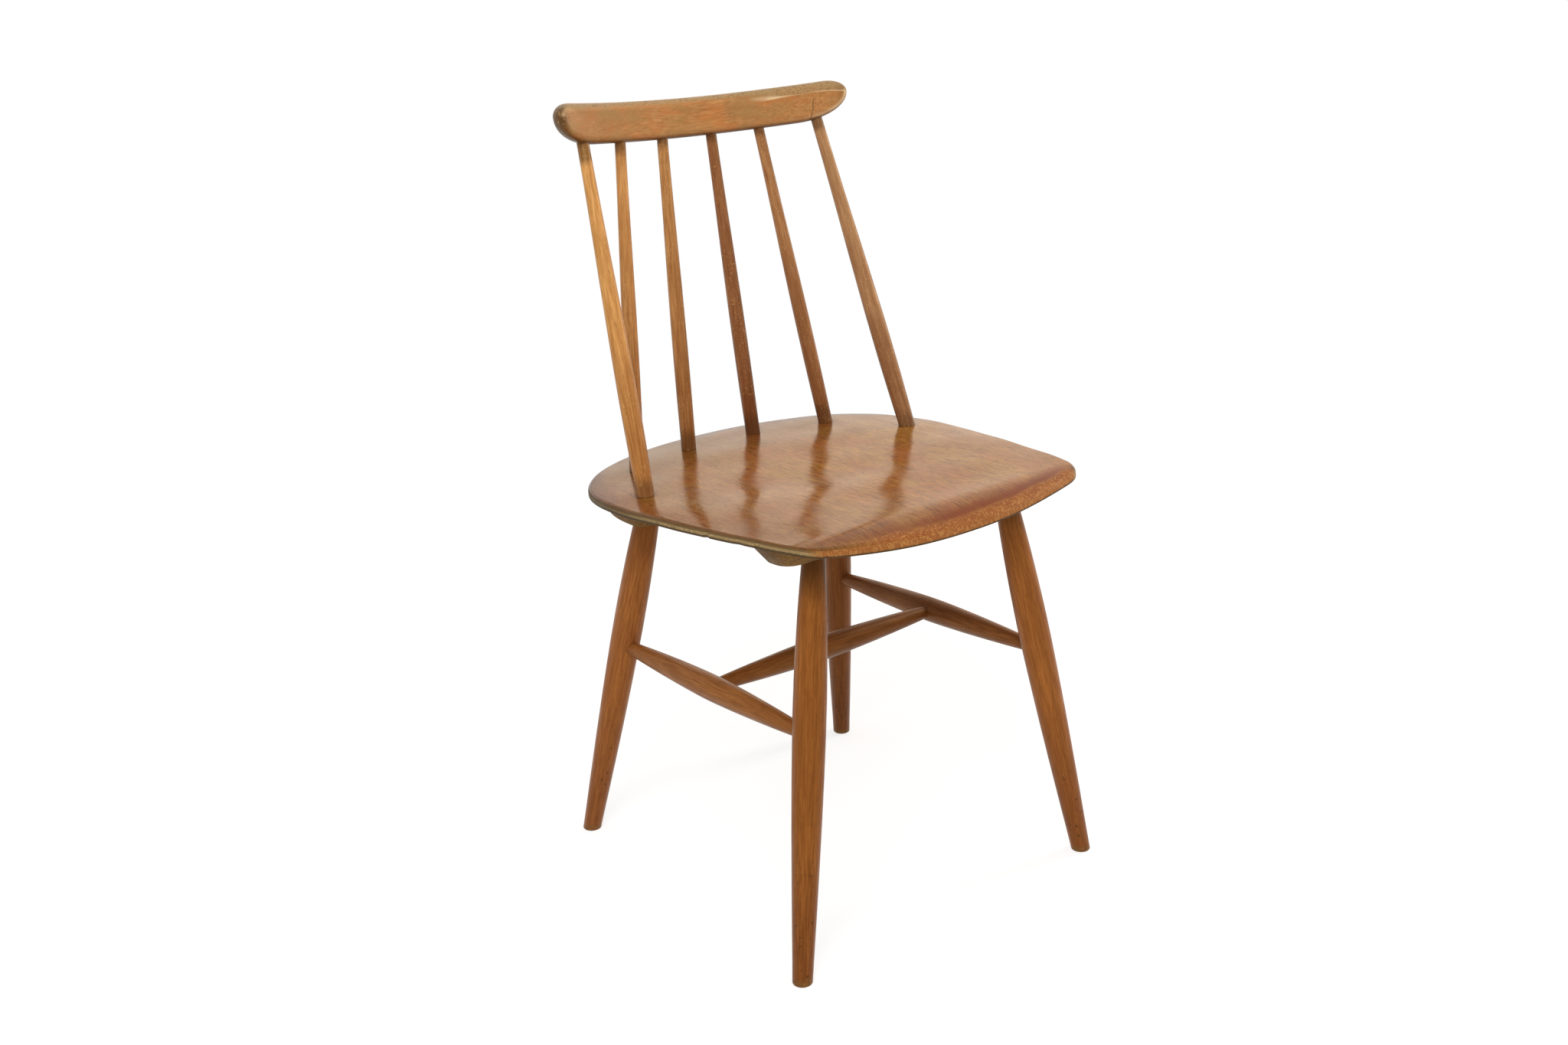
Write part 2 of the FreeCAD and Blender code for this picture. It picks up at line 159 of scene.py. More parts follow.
def tint(tree, share, under, over, kind="MIX"):
    made = addNode(tree, "ShaderNodeMix", data_type="RGBA", blend_type=kind, clamp_factor=True)
    feed(tree, made.inputs[0], share)
    feed(tree, made.inputs[6], under)
    feed(tree, made.inputs[7], over)
    return made.outputs[2]


def lay(tree, mask, share, colour, over):
    # over is laid on the colour where the mask is, as strongly as share says
    return tint(tree, times(tree, mask, share), colour, over)


def split(tree, place):
    return addNode(tree, "ShaderNodeSeparateXYZ", {0: place}).outputs


def facing(tree):
    # which way the surface faces, in the chair's frame
    return split(tree, addNode(tree, "ShaderNodeNewGeometry").outputs["Normal"])


def mark(tree, name):
    # a value that the mesh carries from point to point
    return addNode(tree, "ShaderNodeAttribute", attribute_name=name).outputs["Fac"]


def mottle(tree, place, rate, low, high, share):
    # soft patches, share at their middle; rate is how many there are to a metre each way
    soft = cloud(tree, stretch(tree, place, rate), 1.0, 3.0, 0.58, 0.3)
    return fade(tree, soft, low, high, 0.0, share)


def paint(red, green, blue):
    # a colour as it is seen on screen, 0 to 255, as Blender's linear colour
    def linear(value):
        value = value / 255
        return value / 12.92 if value <= 0.04045 else ((value + 0.055) / 1.055) ** 2.4
    return (linear(red), linear(green), linear(blue), 1.0)


def addGroup(name, inputs, outputs):
    group = bpy.data.node_groups.new(name, "ShaderNodeTree")
    for label, kind, value in inputs:
        socket = group.interface.new_socket(label, in_out="INPUT", socket_type="NodeSocket" + kind)
        if value is not None:
            socket.default_value = value
    for label, kind in outputs:
        group.interface.new_socket(label, in_out="OUTPUT", socket_type="NodeSocket" + kind)
    return group, group.nodes.new("NodeGroupInput").outputs, group.nodes.new("NodeGroupOutput").inputs


# Wood figure: streaks along Z, growth rings, open pores and broad patches


def makeWoodFigure():
    group, given, result = addGroup(
        "woodFigure",
        [
            ("Place", "Vector", None),
            ("Streak Width", "Float", 0.0015), ("Streak Length", "Float", 0.05),
            ("Ring Gap", "Float", 0.006), ("Ring Wander", "Float", 0.006),
            ("Pore Amount", "Float", 0.5),
        ],
        [(name, "Float") for name in ("Streaks", "Rings", "Pores", "Patches", "Relief")],
    )
    place = given["Place"]
    drift = cloud(group, stretch(group, place, (16, 16, 5)), 1.0, 2.0)
    sway = shift(group, "SUBTRACT", colourOf(drift), (0.5, 0.5, 0.5))
    wander = {0: sway, "Scale": given["Ring Wander"]}
    sway = addNode(group, "ShaderNodeVectorMath", wander, operation="SCALE").outputs["Vector"]
    bent = shift(group, "ADD", place, sway)

    across = calc(group, "DIVIDE", 1.0, given["Streak Width"])
    along = calc(group, "DIVIDE", 1.0, given["Streak Length"])
    fine = addNode(group, "ShaderNodeCombineXYZ", {"X": across, "Y": across, "Z": along}).outputs[0]
    streaks = cloud(group, stretch(group, bent, fine), 1.0, 4.0, 0.62)
    feed(group, result["Streaks"], fade(group, streaks, 0.3, 0.7))

    pith = (-0.052, -0.021, 0.0)  # the log's middle runs beside the piece
    flat = stretch(group, bent, (1, 1, 0))
    turns = calc(group, "DIVIDE", reach(group, flat, pith), given["Ring Gap"])
    wave = calc(group, "SINE", times(group, turns, 2 * math.pi))
    rings = calc(group, "MULTIPLY_ADD", wave, 0.5)
    rings.node.inputs[2].default_value = 0.5
    strength = cloud(group, stretch(group, bent, (30, 30, 6)), 1.0, 1.0)
    rings = times(group, calc(group, "POWER", rings, 2.0), fade(group, strength, 0.3, 0.65))
    feed(group, result["Rings"], rings)

    holes = cloud(group, stretch(group, bent, (1500, 1500, 130)), 1.0, 1.0)
    pores = times(group, fade(group, holes, 0.6, 0.72), given["Pore Amount"])
    feed(group, result["Pores"], pores)

    broad = cloud(group, stretch(group, place, (26, 26, 10)), 1.0, 3.0, 0.55, 0.6)
    feed(group, result["Patches"], fade(group, broad, 0.36, 0.64))

    relief = minus(group, times(group, streaks, 0.5), pores)
    feed(group, result["Relief"], plus(group, relief, times(group, rings, -0.15)))
    return group


# Hand wear: pale rubbed places, dark grime in hollows and fine scratches


def makeHandWear():
    group, given, result = addGroup(
        "handWear",
        [("Place", "Vector", None), ("Edge", "Float", 0.0), ("Amount", "Float", 1.0)],
        [("Worn", "Float"), ("Grime", "Float"), ("Scratches", "Float")],
    )
    place = given["Place"]
    rubs = cloud(group, place, 55.0, 4.0, 0.6)
    edge = times(group, given["Edge"], 0.55)
    worn = fade(group, plus(group, rubs, edge), 0.72, 1.0)
    feed(group, result["Worn"], times(group, worn, given["Amount"]))

    dirt = cloud(group, shift(group, "ADD", place, (3.1, 1.7, 0.4)), 38.0, 5.0, 0.68)
    feed(group, result["Grime"], times(group, fade(group, dirt, 0.55, 0.8), given["Amount"]))

    marks = None
    for turn, wide, long in ((0.5, 1400.0, 22.0), (-1.1, 1700.0, 30.0)):
        turned = addNode(group, "ShaderNodeMapping", {"Vector": place, "Rotation": (turn, turn, turn)})
        grid = stretch(group, turned.outputs[0], (wide, long, long))
        lines = fade(group, cloud(group, grid, 1.0, 0.0), 0.73, 0.8)
        marks = lines if marks is None else calc(group, "MAXIMUM", marks, lines)
    feed(group, result["Scratches"], times(group, marks, given["Amount"]))
    return group


woodFigure = makeWoodFigure()
handWear = makeHandWear()
print("wood and wear groups built")


def addGroupNode(tree, group, inputs):
    made = addNode(tree, "ShaderNodeGroup", node_tree=group)
    for name, value in inputs.items():
        feed(tree, made.inputs[name], value)
    return made.outputs


def grainAlong(axis, middle, number):
    # turn and shift that bring the piece's grain onto Z, each piece in its own stretch of log
    turn = Vector(axis).rotation_difference(Vector((0, 0, 1)))
    start = Vector((0.013 * number, 0.007 * number, 0.61 * number))
    return turn.to_euler(), start - turn @ Vector(middle)


amber = paint(255, 226, 178)  # old lacquer warms what shines in it


def addMaterial(name):
    material = bpy.data.materials.new(name)
    material.use_nodes = True
    material.node_tree.nodes.clear()
    return material, material.node_tree


def woodMaterial(name, look, grain, detail):
    # look holds the finish, grain comes from grainAlong, detail adds what one piece has
    material, tree = addMaterial(name)
    where = addNode(tree, "ShaderNodeTexCoord").outputs["Object"]
    inputs = {"Vector": where, "Rotation": grain[0], "Location": grain[1]}
    place = addNode(tree, "ShaderNodeMapping", inputs).outputs[0]
    figure = addGroupNode(tree, woodFigure, {
        "Place": place, "Streak Width": look["streaks"][0], "Streak Length": look["streaks"][1],
        "Ring Gap": look["rings"][0], "Ring Wander": look["rings"][1], "Pore Amount": look["pores"],
    })
    wear = addGroupNode(tree, handWear, {
        "Place": where, "Edge": mark(tree, "edge"), "Amount": look["wear"],
    })

    colour = tint(tree, figure["Streaks"], look["dark"], look["light"])
    for mask, share, name in (
        (figure["Patches"], look["patchShare"], "patch"), (figure["Rings"], look["ringShare"], "ring"),
        (figure["Pores"], 0.7, "pore"), (wear["Worn"], 0.6, "worn"), (wear["Grime"], 0.35, "pore"),
    ):
        colour = lay(tree, mask, share, colour, look[name])
    height = minus(tree, figure["Relief"], times(tree, wear["Scratches"], 0.5))
    rough = fade(tree, figure["Patches"], 0.0, 1.0, look["rough"][0], look["rough"][1])
    rough = calc(tree, "ADD", rough, times(tree, wear["Grime"], 0.15), clamp=True)
    colour, height, rough = detail(tree, where, colour, height, rough)

    bump = {"Strength": 1.0, "Distance": look["relief"], "Height": height}
    bump = addNode(tree, "ShaderNodeBump", bump)
    lacquer = cloud(tree, where, 1 / look["lacquer"][0], 1.0)
    skin = addNode(tree, "ShaderNodeBump", {"Distance": look["lacquer"][1], "Height": lacquer})
    feed(tree, skin.inputs["Normal"], bump.outputs[0])
    shader = addNode(tree, "ShaderNodeBsdfPrincipled", {
        "Base Color": colour, "Roughness": rough, "Normal": skin.outputs[0],
    })
    shader.inputs["IOR"].default_value = 1.5
    shader.inputs["Specular IOR Level"].default_value = look["gloss"]
    shader.inputs["Specular Tint"].default_value = look.get("warm", amber)
    output = addNode(tree, "ShaderNodeOutputMaterial")
    tree.links.new(shader.outputs[0], output.inputs[0])
    return material


def dress(piece, material):
    piece.data.materials.clear()
    piece.data.materials.append(material)


# Rings and shells for the pieces modelled here


def closedSpline(points):
    # smooth closed curve through the points, as many close samples
    corners = np.array(points, float)
    count = len(corners)
    after = np.roll(corners, -1, axis=0)
    step = np.linalg.norm(after - corners, axis=1)
    system = np.zeros((count, count))
    right = np.zeros((count, 2))
    for i in range(count):
        back, ahead = step[i - 1], step[i]
        system[i, i - 1] += 1 / back
        system[i, i] += 2 / back + 2 / ahead
        system[i, (i + 1) % count] += 1 / ahead
        right[i] = 3 * ((corners[i] - corners[i - 1]) / back**2 + (after[i] - corners[i]) / ahead**2)
    slopes = np.linalg.solve(system, right)
    samples = []
    for i in range(count):
        t = np.linspace(0, 1, 80, endpoint=False)[:, None]
        start, end = slopes[i] * step[i], slopes[(i + 1) % count] * step[i]
        samples.append(
            corners[i] * (1 + 2 * t) * (1 - t) ** 2 + start * t * (1 - t) ** 2
            + after[i] * t**2 * (3 - 2 * t) - end * t**2 * (1 - t)
        )
    return np.vstack(samples)


def bezier(a, b, c, d, count):
    t = np.linspace(0, 1, count, endpoint=False)[:, None]
    a, b, c, d = (np.array(p, float) for p in (a, b, c, d))
    return a * (1 - t) ** 3 + 3 * b * t * (1 - t) ** 2 + 3 * c * t**2 * (1 - t) + d * t**3


def faceShares(count, outward):
    # how far out from the middle the rings of a face lie, closer together towards its edge
    shares = [math.sin(math.pi / 2 * i / count) for i in range(1, count + 1)]
    return shares if outward else shares[::-1]


def smooth(value):
    # 0 up to 0, 1 from 1, smooth in between
    share = np.clip(value, 0, 1)
    return share**2 * (3 - 2 * share)


def evenRim(samples, count):
    # even steps round a closed line, with the way straight in from each
    ends = np.vstack([samples, samples[:1]])
    lengths = np.concatenate([[0], np.cumsum(np.linalg.norm(np.diff(ends, axis=0), axis=1))])
    steps = np.linspace(0, lengths[-1], count, endpoint=False)
    rim = np.stack([np.interp(steps, lengths, ends[:, k]) for k in (0, 1)], 1)
    along = np.roll(rim, -1, axis=0) - np.roll(rim, 1, axis=0)
    along /= np.linalg.norm(along, axis=1)[:, None]
    area = np.sum(rim[:, 0] * np.roll(rim[:, 1], -1) - np.roll(rim[:, 0], -1) * rim[:, 1])
    inward = np.stack([-along[:, 1], along[:, 0]], 1) * np.sign(area)
    return rim, inward


def buildShell(name, rings, poles, marks):
    # closed skin over a row of equal rings, with a point at each end; each mark has its value
    # at the first point, along the rings and at the last point
    count = len(rings[0])
    points = np.vstack([[poles[0]], *rings, [poles[1]]])
    faces = []
    last = 1 + (len(rings) - 1) * count
    for j in range(count):
        k = (j + 1) % count
        faces.append((0, 1 + k, 1 + j))
        for r in range(len(rings) - 1):
            a = 1 + r * count
            faces.append((a + j, a + k, a + count + k, a + count + j))
        faces.append((last + j, last + k, len(points) - 1))
    mesh = bpy.data.meshes.new(name)
    mesh.from_pydata(points.tolist(), [], faces)
    edit = bmesh.new()
    edit.from_mesh(mesh)
    bmesh.ops.recalc_face_normals(edit, faces=edit.faces)
    edit.to_mesh(mesh)
    edit.free()
    for label, (first, rows, end) in marks.items():
        values = np.concatenate([[first], *rows, [end]]).astype(np.float32)
        mesh.attributes.new(label, "FLOAT", "POINT").data.foreach_set("value", values)
    mesh.polygons.foreach_set("use_smooth", [True] * len(mesh.polygons))
    mesh.set_sharp_from_angle(angle=math.radians(38))
    return addObject(name, mesh)


def settle(piece, node):
    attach(piece, "root")
    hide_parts(node)


# Seat: moulded plywood in three glued layers

seatShape = {
    "width": 0.450, "depth": 0.470,
    "height": 0.4518,  # top of the seat plane over the floor, at the origin
    "tilt": 3.23,      # degrees, back edge low
    "faceVeneer": 0.0012, "core": 0.0061, "backVeneer": 0.0012, "plies": 5,
    "rollLength": 0.050, "rollDrop": 0.0138, "cornerLift": 0.0025,
    "liftFrom": 0.25, "liftLength": 0.5,  # where the corners lift, in shares of half the depth
    "crown": 0.0045, "crownSquareness": 2.7, "crownFullness": 6.0,
    "dishDepth": 0.005, "dishMiddle": -0.030, "dishWidth": 0.400, "dishLength": 0.320,
    # gentle waves of an old moulded sheet: height, length across, length along, start
    "waves": [(0.00022, 0.30, 0.105, 0.4), (0.00014, -0.22, 0.071, 2.1), (0.0003, 0.26, 0.9, 1.0)],
    # radii of the edge at the sides and back, and along the front; none under a veneer's thickness
    "topRound": (0.0042, 0.0068), "bottomRound": (0.0012, 0.0022),
    # how squarely the rim faces forwards where the front starts, and where it is all front
    "frontTurn": (0.62, 0.98),
    "plyGroove": 0.00012,
    # shares of half the width and depth, back middle to front middle
    "outline": [
        (0, 1), (0.544, 0.901), (0.788, 0.753), (0.950, 0.525), (1, 0.230),
        (0.968, -0.164), (0.918, -0.508), (0.867, -0.747), (0.839, -0.832),
        (0.784, -0.895), (0.680, -0.931), (0.277, -0.991), (0, -1),
    ],
    # chips out of the edge: place round the rim, half width, depth
    "chips": [
        (0.655, 0.0035, 0.0012), (0.672, 0.006, 0.0008), (0.70, 0.003, 0.0014), (0.607, 0.004, 0.001),
    ],
    "edgeWear": 0.006,  # how far wear reaches in from the edge
    "rimSteps": 720, "faceSteps": 64, "hiddenSteps": 14, "undersideSteps": 40, "roundSteps": 5,
}
halfWidth = seatShape["width"] / 2
halfDepth = seatShape["depth"] / 2
seatTilt = math.radians(seatShape["tilt"])
panelThickness = seatShape["faceVeneer"] + seatShape["core"] + seatShape["backVeneer"]


def seatRise(x, y):
    s = seatShape
    crest = -halfDepth + s["rollLength"]
    roll = s["rollDrop"] * (np.maximum(0, crest - y) / s["rollLength"]) ** 2
    forward = smooth((-y - halfDepth * s["liftFrom"]) / (halfDepth * s["liftLength"]))
    lift = s["cornerLift"] * np.abs(x / halfWidth) ** 4 * forward
    across = np.clip(1 - np.abs(2 * x / s["dishWidth"]), 0, 1)
    along = np.clip(1 - np.abs(2 * (y - s["dishMiddle"]) / s["dishLength"]), 0, 1)
    dish = s["dishDepth"] * np.sin(across * math.pi / 2) ** 2 * np.sin(along * math.pi / 2) ** 2
    square = s["crownSquareness"]
    share = (np.abs(x / halfWidth) ** square + np.abs(y / halfDepth) ** square) ** (1 / square)
    crown = s["crown"] * (1 - share ** s["crownFullness"]) * (1 - forward)
    waves = 0
    for height, wide, long, start in s["waves"]:
        waves = waves + height * np.sin(2 * math.pi * (x / wide + y / long) + start)
    return crown + lift - dish - roll + waves


def tiltSeat(x, y, drop):
    z = seatRise(x, y) - drop
    return np.stack([
        x, y * math.cos(seatTilt) + z * math.sin(seatTilt),
        seatShape["height"] - y * math.sin(seatTilt) + z * math.cos(seatTilt),
    ], -1)


def seatRim():
    right = [(a * halfWidth, b * halfDepth) for a, b in seatShape["outline"]]
    left = [(-x, y) for x, y in reversed(right[1:-1])]
    return evenRim(closedSpline(right + left), seatShape["rimSteps"])


def frontOf(inward):
    # 0 along the sides and back of the seat, 1 along its front
    low, high = seatShape["frontTurn"]
    return smooth((inward[:, 1] - low) / (high - low))


def roundIn(radius, depth):
    # how far a rounded edge stands in at a depth below its face
    return radius - np.sqrt(radius**2 - np.clip(radius - depth, 0, None) ** 2)


def roundDepths(radius, thickness):
    # depths of the rings that round the outer edge of a veneer
    widest = np.arccos(np.clip(1 - thickness / radius, 0, 1))
    steps = seatShape["roundSteps"]
    return [radius * (1 - np.cos(widest * i / steps)) for i in range(1, steps)]


def chipDepth(rim):
    # how far chips bite into the edge at each step of the rim
    stations = np.arange(len(rim)) / len(rim)
    length = np.linalg.norm(np.roll(rim, -1, axis=0) - rim, axis=1).sum()
    bite = np.zeros(len(rim))
    for place, half, depth in seatShape["chips"]:
        gap = np.abs(stations - place) * length / half
        bite = np.maximum(bite, depth * np.clip(1.2 - gap, 0, 1) ** 0.7)
    return bite


def seatLayer(name, top, thickness, steps, bite):
    # a glued layer between two depths, its rim a stretch of the panel's rounded edge
    s = seatShape
    bottom = top + thickness
    rim, inward = seatRim()
    front = frontOf(inward)
    upper, lower = (a + (b - a) * front for a, b in (s["topRound"], s["bottomRound"]))
    chips = chipDepth(rim) * bite
    span = np.linalg.norm(rim, axis=1)
    rings, gaps, depths = [], [], []

    def ring(share, drop, groove=0.0):
        inset = roundIn(upper, drop) + roundIn(lower, panelThickness - drop) + groove + chips
        line = (rim + inward * inset[:, None]) * share
        rings.append(tiltSeat(line[:, 0], line[:, 1], drop))
        gaps.append((1 - share) * span)
        depths.append(np.broadcast_to(drop, len(rim)))

    def face(drop, count, outward):
        for share in faceShares(count, outward):
            ring(share, drop)

    face(top, steps[0], True)
    if top == 0:
        for drop in roundDepths(upper, thickness):
            ring(1.0, drop)
    elif name == "seatCorePlies":
        ply = thickness / s["plies"]
        for number in range(s["plies"]):
            high = top + ply * number
            if number:
                ring(1.0, high, s["plyGroove"] * (1 - front))
            ring(1.0, high + s["plyGroove"])
            ring(1.0, high + ply - s["plyGroove"])
    else:
        for depth in reversed(roundDepths(lower, thickness)):
            ring(1.0, panelThickness - depth)
    face(bottom, steps[1], False)
    ends = [tiltSeat(np.array(0.0), np.array(0.0), drop) for drop in (top, bottom)]
    return buildShell(name, rings, ends, {
        "rimGap": (halfDepth, gaps, halfDepth),
        "edge": (0, [np.exp(-gap / s["edgeWear"]) for gap in gaps], 0),
        "layerDepth": (top, depths, bottom), "frontShare": (0, [front] * len(rings), 0),
    })


def meshPoints(piece):
    points = np.empty(len(piece.data.vertices) * 3, np.float32)
    piece.data.vertices.foreach_get("co", points)
    return points.reshape(-1, 3).astype(float)


def pieceAxis(points):
    middle = (points.min(0) + points.max(0)) / 2
    axis = np.linalg.svd(points[::7] - points[::7].mean(0), full_matrices=False)[2][0]
    if axis[np.argmax(np.abs(axis))] < 0:
        axis = -axis
    return middle, axis


def spindleFeet():
    # where each spindle's axis goes through the seat, and its radius there
    feet = []
    for number in range(1, 7):
        points = meshPoints(solids["back_spindle_%d" % number])
        middle, axis = pieceAxis(points)
        foot = middle
        for _ in range(3):
            high = seatShape["height"] + seatRise(foot[0], foot[1]) - foot[1] * math.tan(seatTilt)
            foot = middle + axis * ((high - middle[2]) / axis[2])
        near = points[np.abs((points - foot) @ axis) < 0.02]
        away = near - foot
        away = away - np.outer(away @ axis, axis)
        feet.append((tuple(foot), float(np.linalg.norm(away, axis=1).max())))
    return feet


seatLook = {
    "dark": paint(132, 80, 34), "light": paint(186, 122, 58), "patch": paint(124, 72, 32),
    "patchShare": 0.5, "ring": paint(116, 62, 26), "ringShare": 0.3,
    "pore": paint(66, 32, 13), "worn": paint(196, 142, 80),
    "streaks": (0.0016, 0.018), "rings": (0.012, 0.022), "pores": 0.6, "wear": 0.5,
    "rough": (0.13, 0.2), "relief": 0.00006, "lacquer": (0.012, 0.00006), "gloss": 0.2,
    "rose": paint(164, 92, 50), "olive": paint(164, 122, 52), "fleck": paint(100, 52, 22),
    # soft patches: colour, shift, how many to a metre each way, where they start and end, share
    "spots": [
        ("rose", (0, 0, 0), (34, 15, 1), 0.46, 0.62, 0.45),
        ("olive", (0.37, 0.61, 0), (30, 17, 1), 0.46, 0.62, 0.4),
        ("dark", (0.83, 0.17, 0), (170, 38, 1), 0.48, 0.68, 0.7),
    ],
    # painted shade along the back and towards the left, and dark lines where the veneer ends and
    # round each spindle
    "backDark": paint(96, 50, 20), "backFrom": 0.06, "backTo": 0.20,
    "rimDark": paint(82, 52, 24), "footDark": paint(66, 34, 14), "footLine": (0.0004, 0.0018),
    # the front: a red-brown band of painted shade where the seat rolls down, and a worn orange strip
    # at its edge, by how far in from the edge the band starts and ends, and where the strip ends
    "band": paint(126, 56, 18), "strip": paint(150, 84, 34), "stripSpeck": paint(198, 140, 76),
    "bandStart": (0.004, 0.010), "bandEnd": (0.012, 0.026), "stripEnd": (0.002, 0.010),
    "dents": [(0.158, -0.085, 0.004), (0.118, -0.108, 0.0028)],
}


def seatFeetMask(tree, where):
    flat = stretch(tree, where, (1, 1, 0))
    joint = None
    for foot, radius in spindleFeet():
        gap = minus(tree, reach(tree, flat, (foot[0], foot[1], 0)), radius)
        line = fade(tree, gap, *seatLook["footLine"], 1.0, 0.0)
        joint = line if joint is None else calc(tree, "MAXIMUM", joint, line)
    return joint


def frontMasks(tree, where):
    # the red-brown band of painted shade and the orange strip, along the front edge of the seat only
    look = seatLook
    blur = cloud(tree, where, 34.0, 3.0)
    wander = times(tree, minus(tree, blur, 0.5), 0.012)
    gap = plus(tree, mark(tree, "rimGap"), wander)
    front = mark(tree, "frontShare")
    x = split(tree, where)["X"]
    strip = times(tree, fade(tree, gap, *look["stripEnd"], 1.0, 0.0), front)
    strip = times(tree, strip, fade(tree, x, -0.17, -0.09))
    front = times(tree, front, fade(tree, x, -0.14, 0.0, 0.2, 1.0))
    band = fade(tree, gap, *look["bandEnd"], 1.0, 0.0)
    band = times(tree, fade(tree, gap, *look["bandStart"]), band)
    return times(tree, band, front), strip


def speckle(tree, where, low, high, share):
    # fine grain of worn lacquer
    return fade(tree, cloud(tree, where, 420.0, 2.0, 0.7), low, high, 0.0, share)


def seatDetail(tree, where, colour, height, rough):
    look = seatLook
    for name, aside, rate, low, high, share in look["spots"]:
        soft = mottle(tree, shift(tree, "ADD", where, aside), rate, low, high, share)
        colour = tint(tree, soft, colour, look[name])
    flecks = cloud(tree, stretch(tree, where, (560, 85, 1)), 1.0, 2.0, 0.6)
    colour = tint(tree, fade(tree, flecks, 0.5, 0.68, 0.0, 0.75), colour, look["fleck"])
    parts = split(tree, where)
    # painted shade: darker towards the back, and towards the left
    back = fade(tree, parts["Y"], look["backFrom"], look["backTo"], 0.0, 0.75)
    colour = tint(tree, back, colour, look["backDark"])
    colour = tint(tree, fade(tree, parts["X"], -0.22, -0.04, 0.4, 0.0), colour, look["backDark"])

    band, strip = frontMasks(tree, where)
    rough = plus(tree, rough, times(tree, strip, 0.25))
    # painted shade in the red-brown band where the front rolls down
    colour = lay(tree, band, 0.85, colour, look["band"])
    colour = lay(tree, strip, 0.8, colour, look["strip"])
    worn = mottle(tree, where, (70, 70, 70), 0.4, 0.62, 1.0)
    colour = tint(tree, times(tree, times(tree, strip, worn), 0.45), colour, look["band"])
    specks = times(tree, speckle(tree, where, 0.5, 0.66, 0.75), strip)
    colour = tint(tree, specks, colour, look["stripSpeck"])

    colour = tint(tree, times(tree, seatFeetMask(tree, where), 0.6), colour, look["footDark"])
    rim = fade(tree, mark(tree, "layerDepth"), 0.0005, 0.0011, 0.0, 0.7)
    line = fade(tree, mark(tree, "rimGap"), 0.0, 0.0016, 0.45, 0.0)
    rim = times(tree, calc(tree, "MAXIMUM", rim, line), minus(tree, 1.0, strip))
    colour = tint(tree, rim, colour, look["rimDark"])
    flat = stretch(tree, where, (1, 1, 0))
    wobble = stretch(tree, colourOf(cloud(tree, where, 260.0)), (0.002, 0.002, 0))
    for x, y, size in look["dents"]:
        stretched = stretch(tree, shift(tree, "SUBTRACT", flat, (x, y, 0)), (0.6, 1.3, 1))
        away = reach(tree, shift(tree, "ADD", stretched, wobble), (0.001, 0.001, 0))
        dent = fade(tree, away, size * 0.3, size, 1.0, 0.0)
        colour = lay(tree, dent, 0.6, colour, look["fleck"])
        height = minus(tree, height, dent)
    return colour, height, rough


plyLook = {
    "dark": paint(96, 68, 34), "light": paint(128, 96, 52), "patch": paint(84, 60, 30),
    "patchShare": 0.5, "ring": paint(100, 70, 36), "ringShare": 0.2,
    "pore": paint(64, 44, 24), "worn": paint(206, 176, 124),
    "streaks": (0.0022, 0.012), "rings": (0.006, 0.004), "pores": 0.5, "wear": 0.8,
    "rough": (0.45, 0.6), "relief": 0.0001, "lacquer": (0.01, 0.00002), "gloss": 0.3,
    "glue": paint(56, 38, 20), "under": paint(44, 32, 18), "upper": paint(88, 62, 30),
    "fray": paint(206, 176, 126), "back": paint(74, 54, 30),
}


def plyDetail(tree, where, colour, height, rough):
    # olive plies with glue lines, darker towards the bottom; stained at the front
    look = plyLook
    depth = mark(tree, "layerDepth")
    ply = seatShape["core"] / seatShape["plies"]
    turns = calc(tree, "DIVIDE", minus(tree, depth, seatShape["faceVeneer"]), ply)
    colour = tint(tree, fade(tree, turns, 1.1, 1.7, 0.8, 0.0), colour, look["upper"])
    part = calc(tree, "FRACT", plus(tree, turns, 0.5))
    line = fade(tree, calc(tree, "ABSOLUTE", minus(tree, part, 0.5)), 0.06, 0.2, 1.0, 0.0)
    colour = lay(tree, line, 0.6, colour, look["glue"])
    fray = times(tree, speckle(tree, where, 0.56, 0.66, 0.8), fade(tree, turns, 1.4, 2.2))
    colour = tint(tree, fray, colour, look["fray"])
    behind = fade(tree, split(tree, where)["Y"], -0.04, 0.08, 0.0, 0.75)
    colour = tint(tree, behind, colour, look["back"])
    long = stretch(tree, where, (1, 1, 0.12))
    stain = tint(tree, speckle(tree, long, 0.42, 0.66, 0.6), seatLook["strip"], seatLook["stripSpeck"])
    strip = times(tree, mark(tree, "frontShare"), 0.9)
    colour = tint(tree, strip, colour, stain)
    colour = tint(tree, fade(tree, turns, 3.3, 4.1, 0.0, 0.85), colour, look["under"])
    return colour, height, rough


undersideLook = dict(
    seatLook, dark=paint(122, 86, 46), light=paint(152, 114, 66), patch=paint(110, 74, 40),
    rough=(0.45, 0.6), gloss=0.3, relief=0.0001, rim=paint(50, 34, 20), rimWide=0.006,
)


def undersideDetail(tree, where, colour, height, rough):
    # darker along the lower edge
    edgeDarkening = fade(tree, mark(tree, "rimGap"), 0.0, undersideLook["rimWide"], 0.85, 0.0)
    return tint(tree, edgeDarkening, colour, undersideLook["rim"]), height, rough


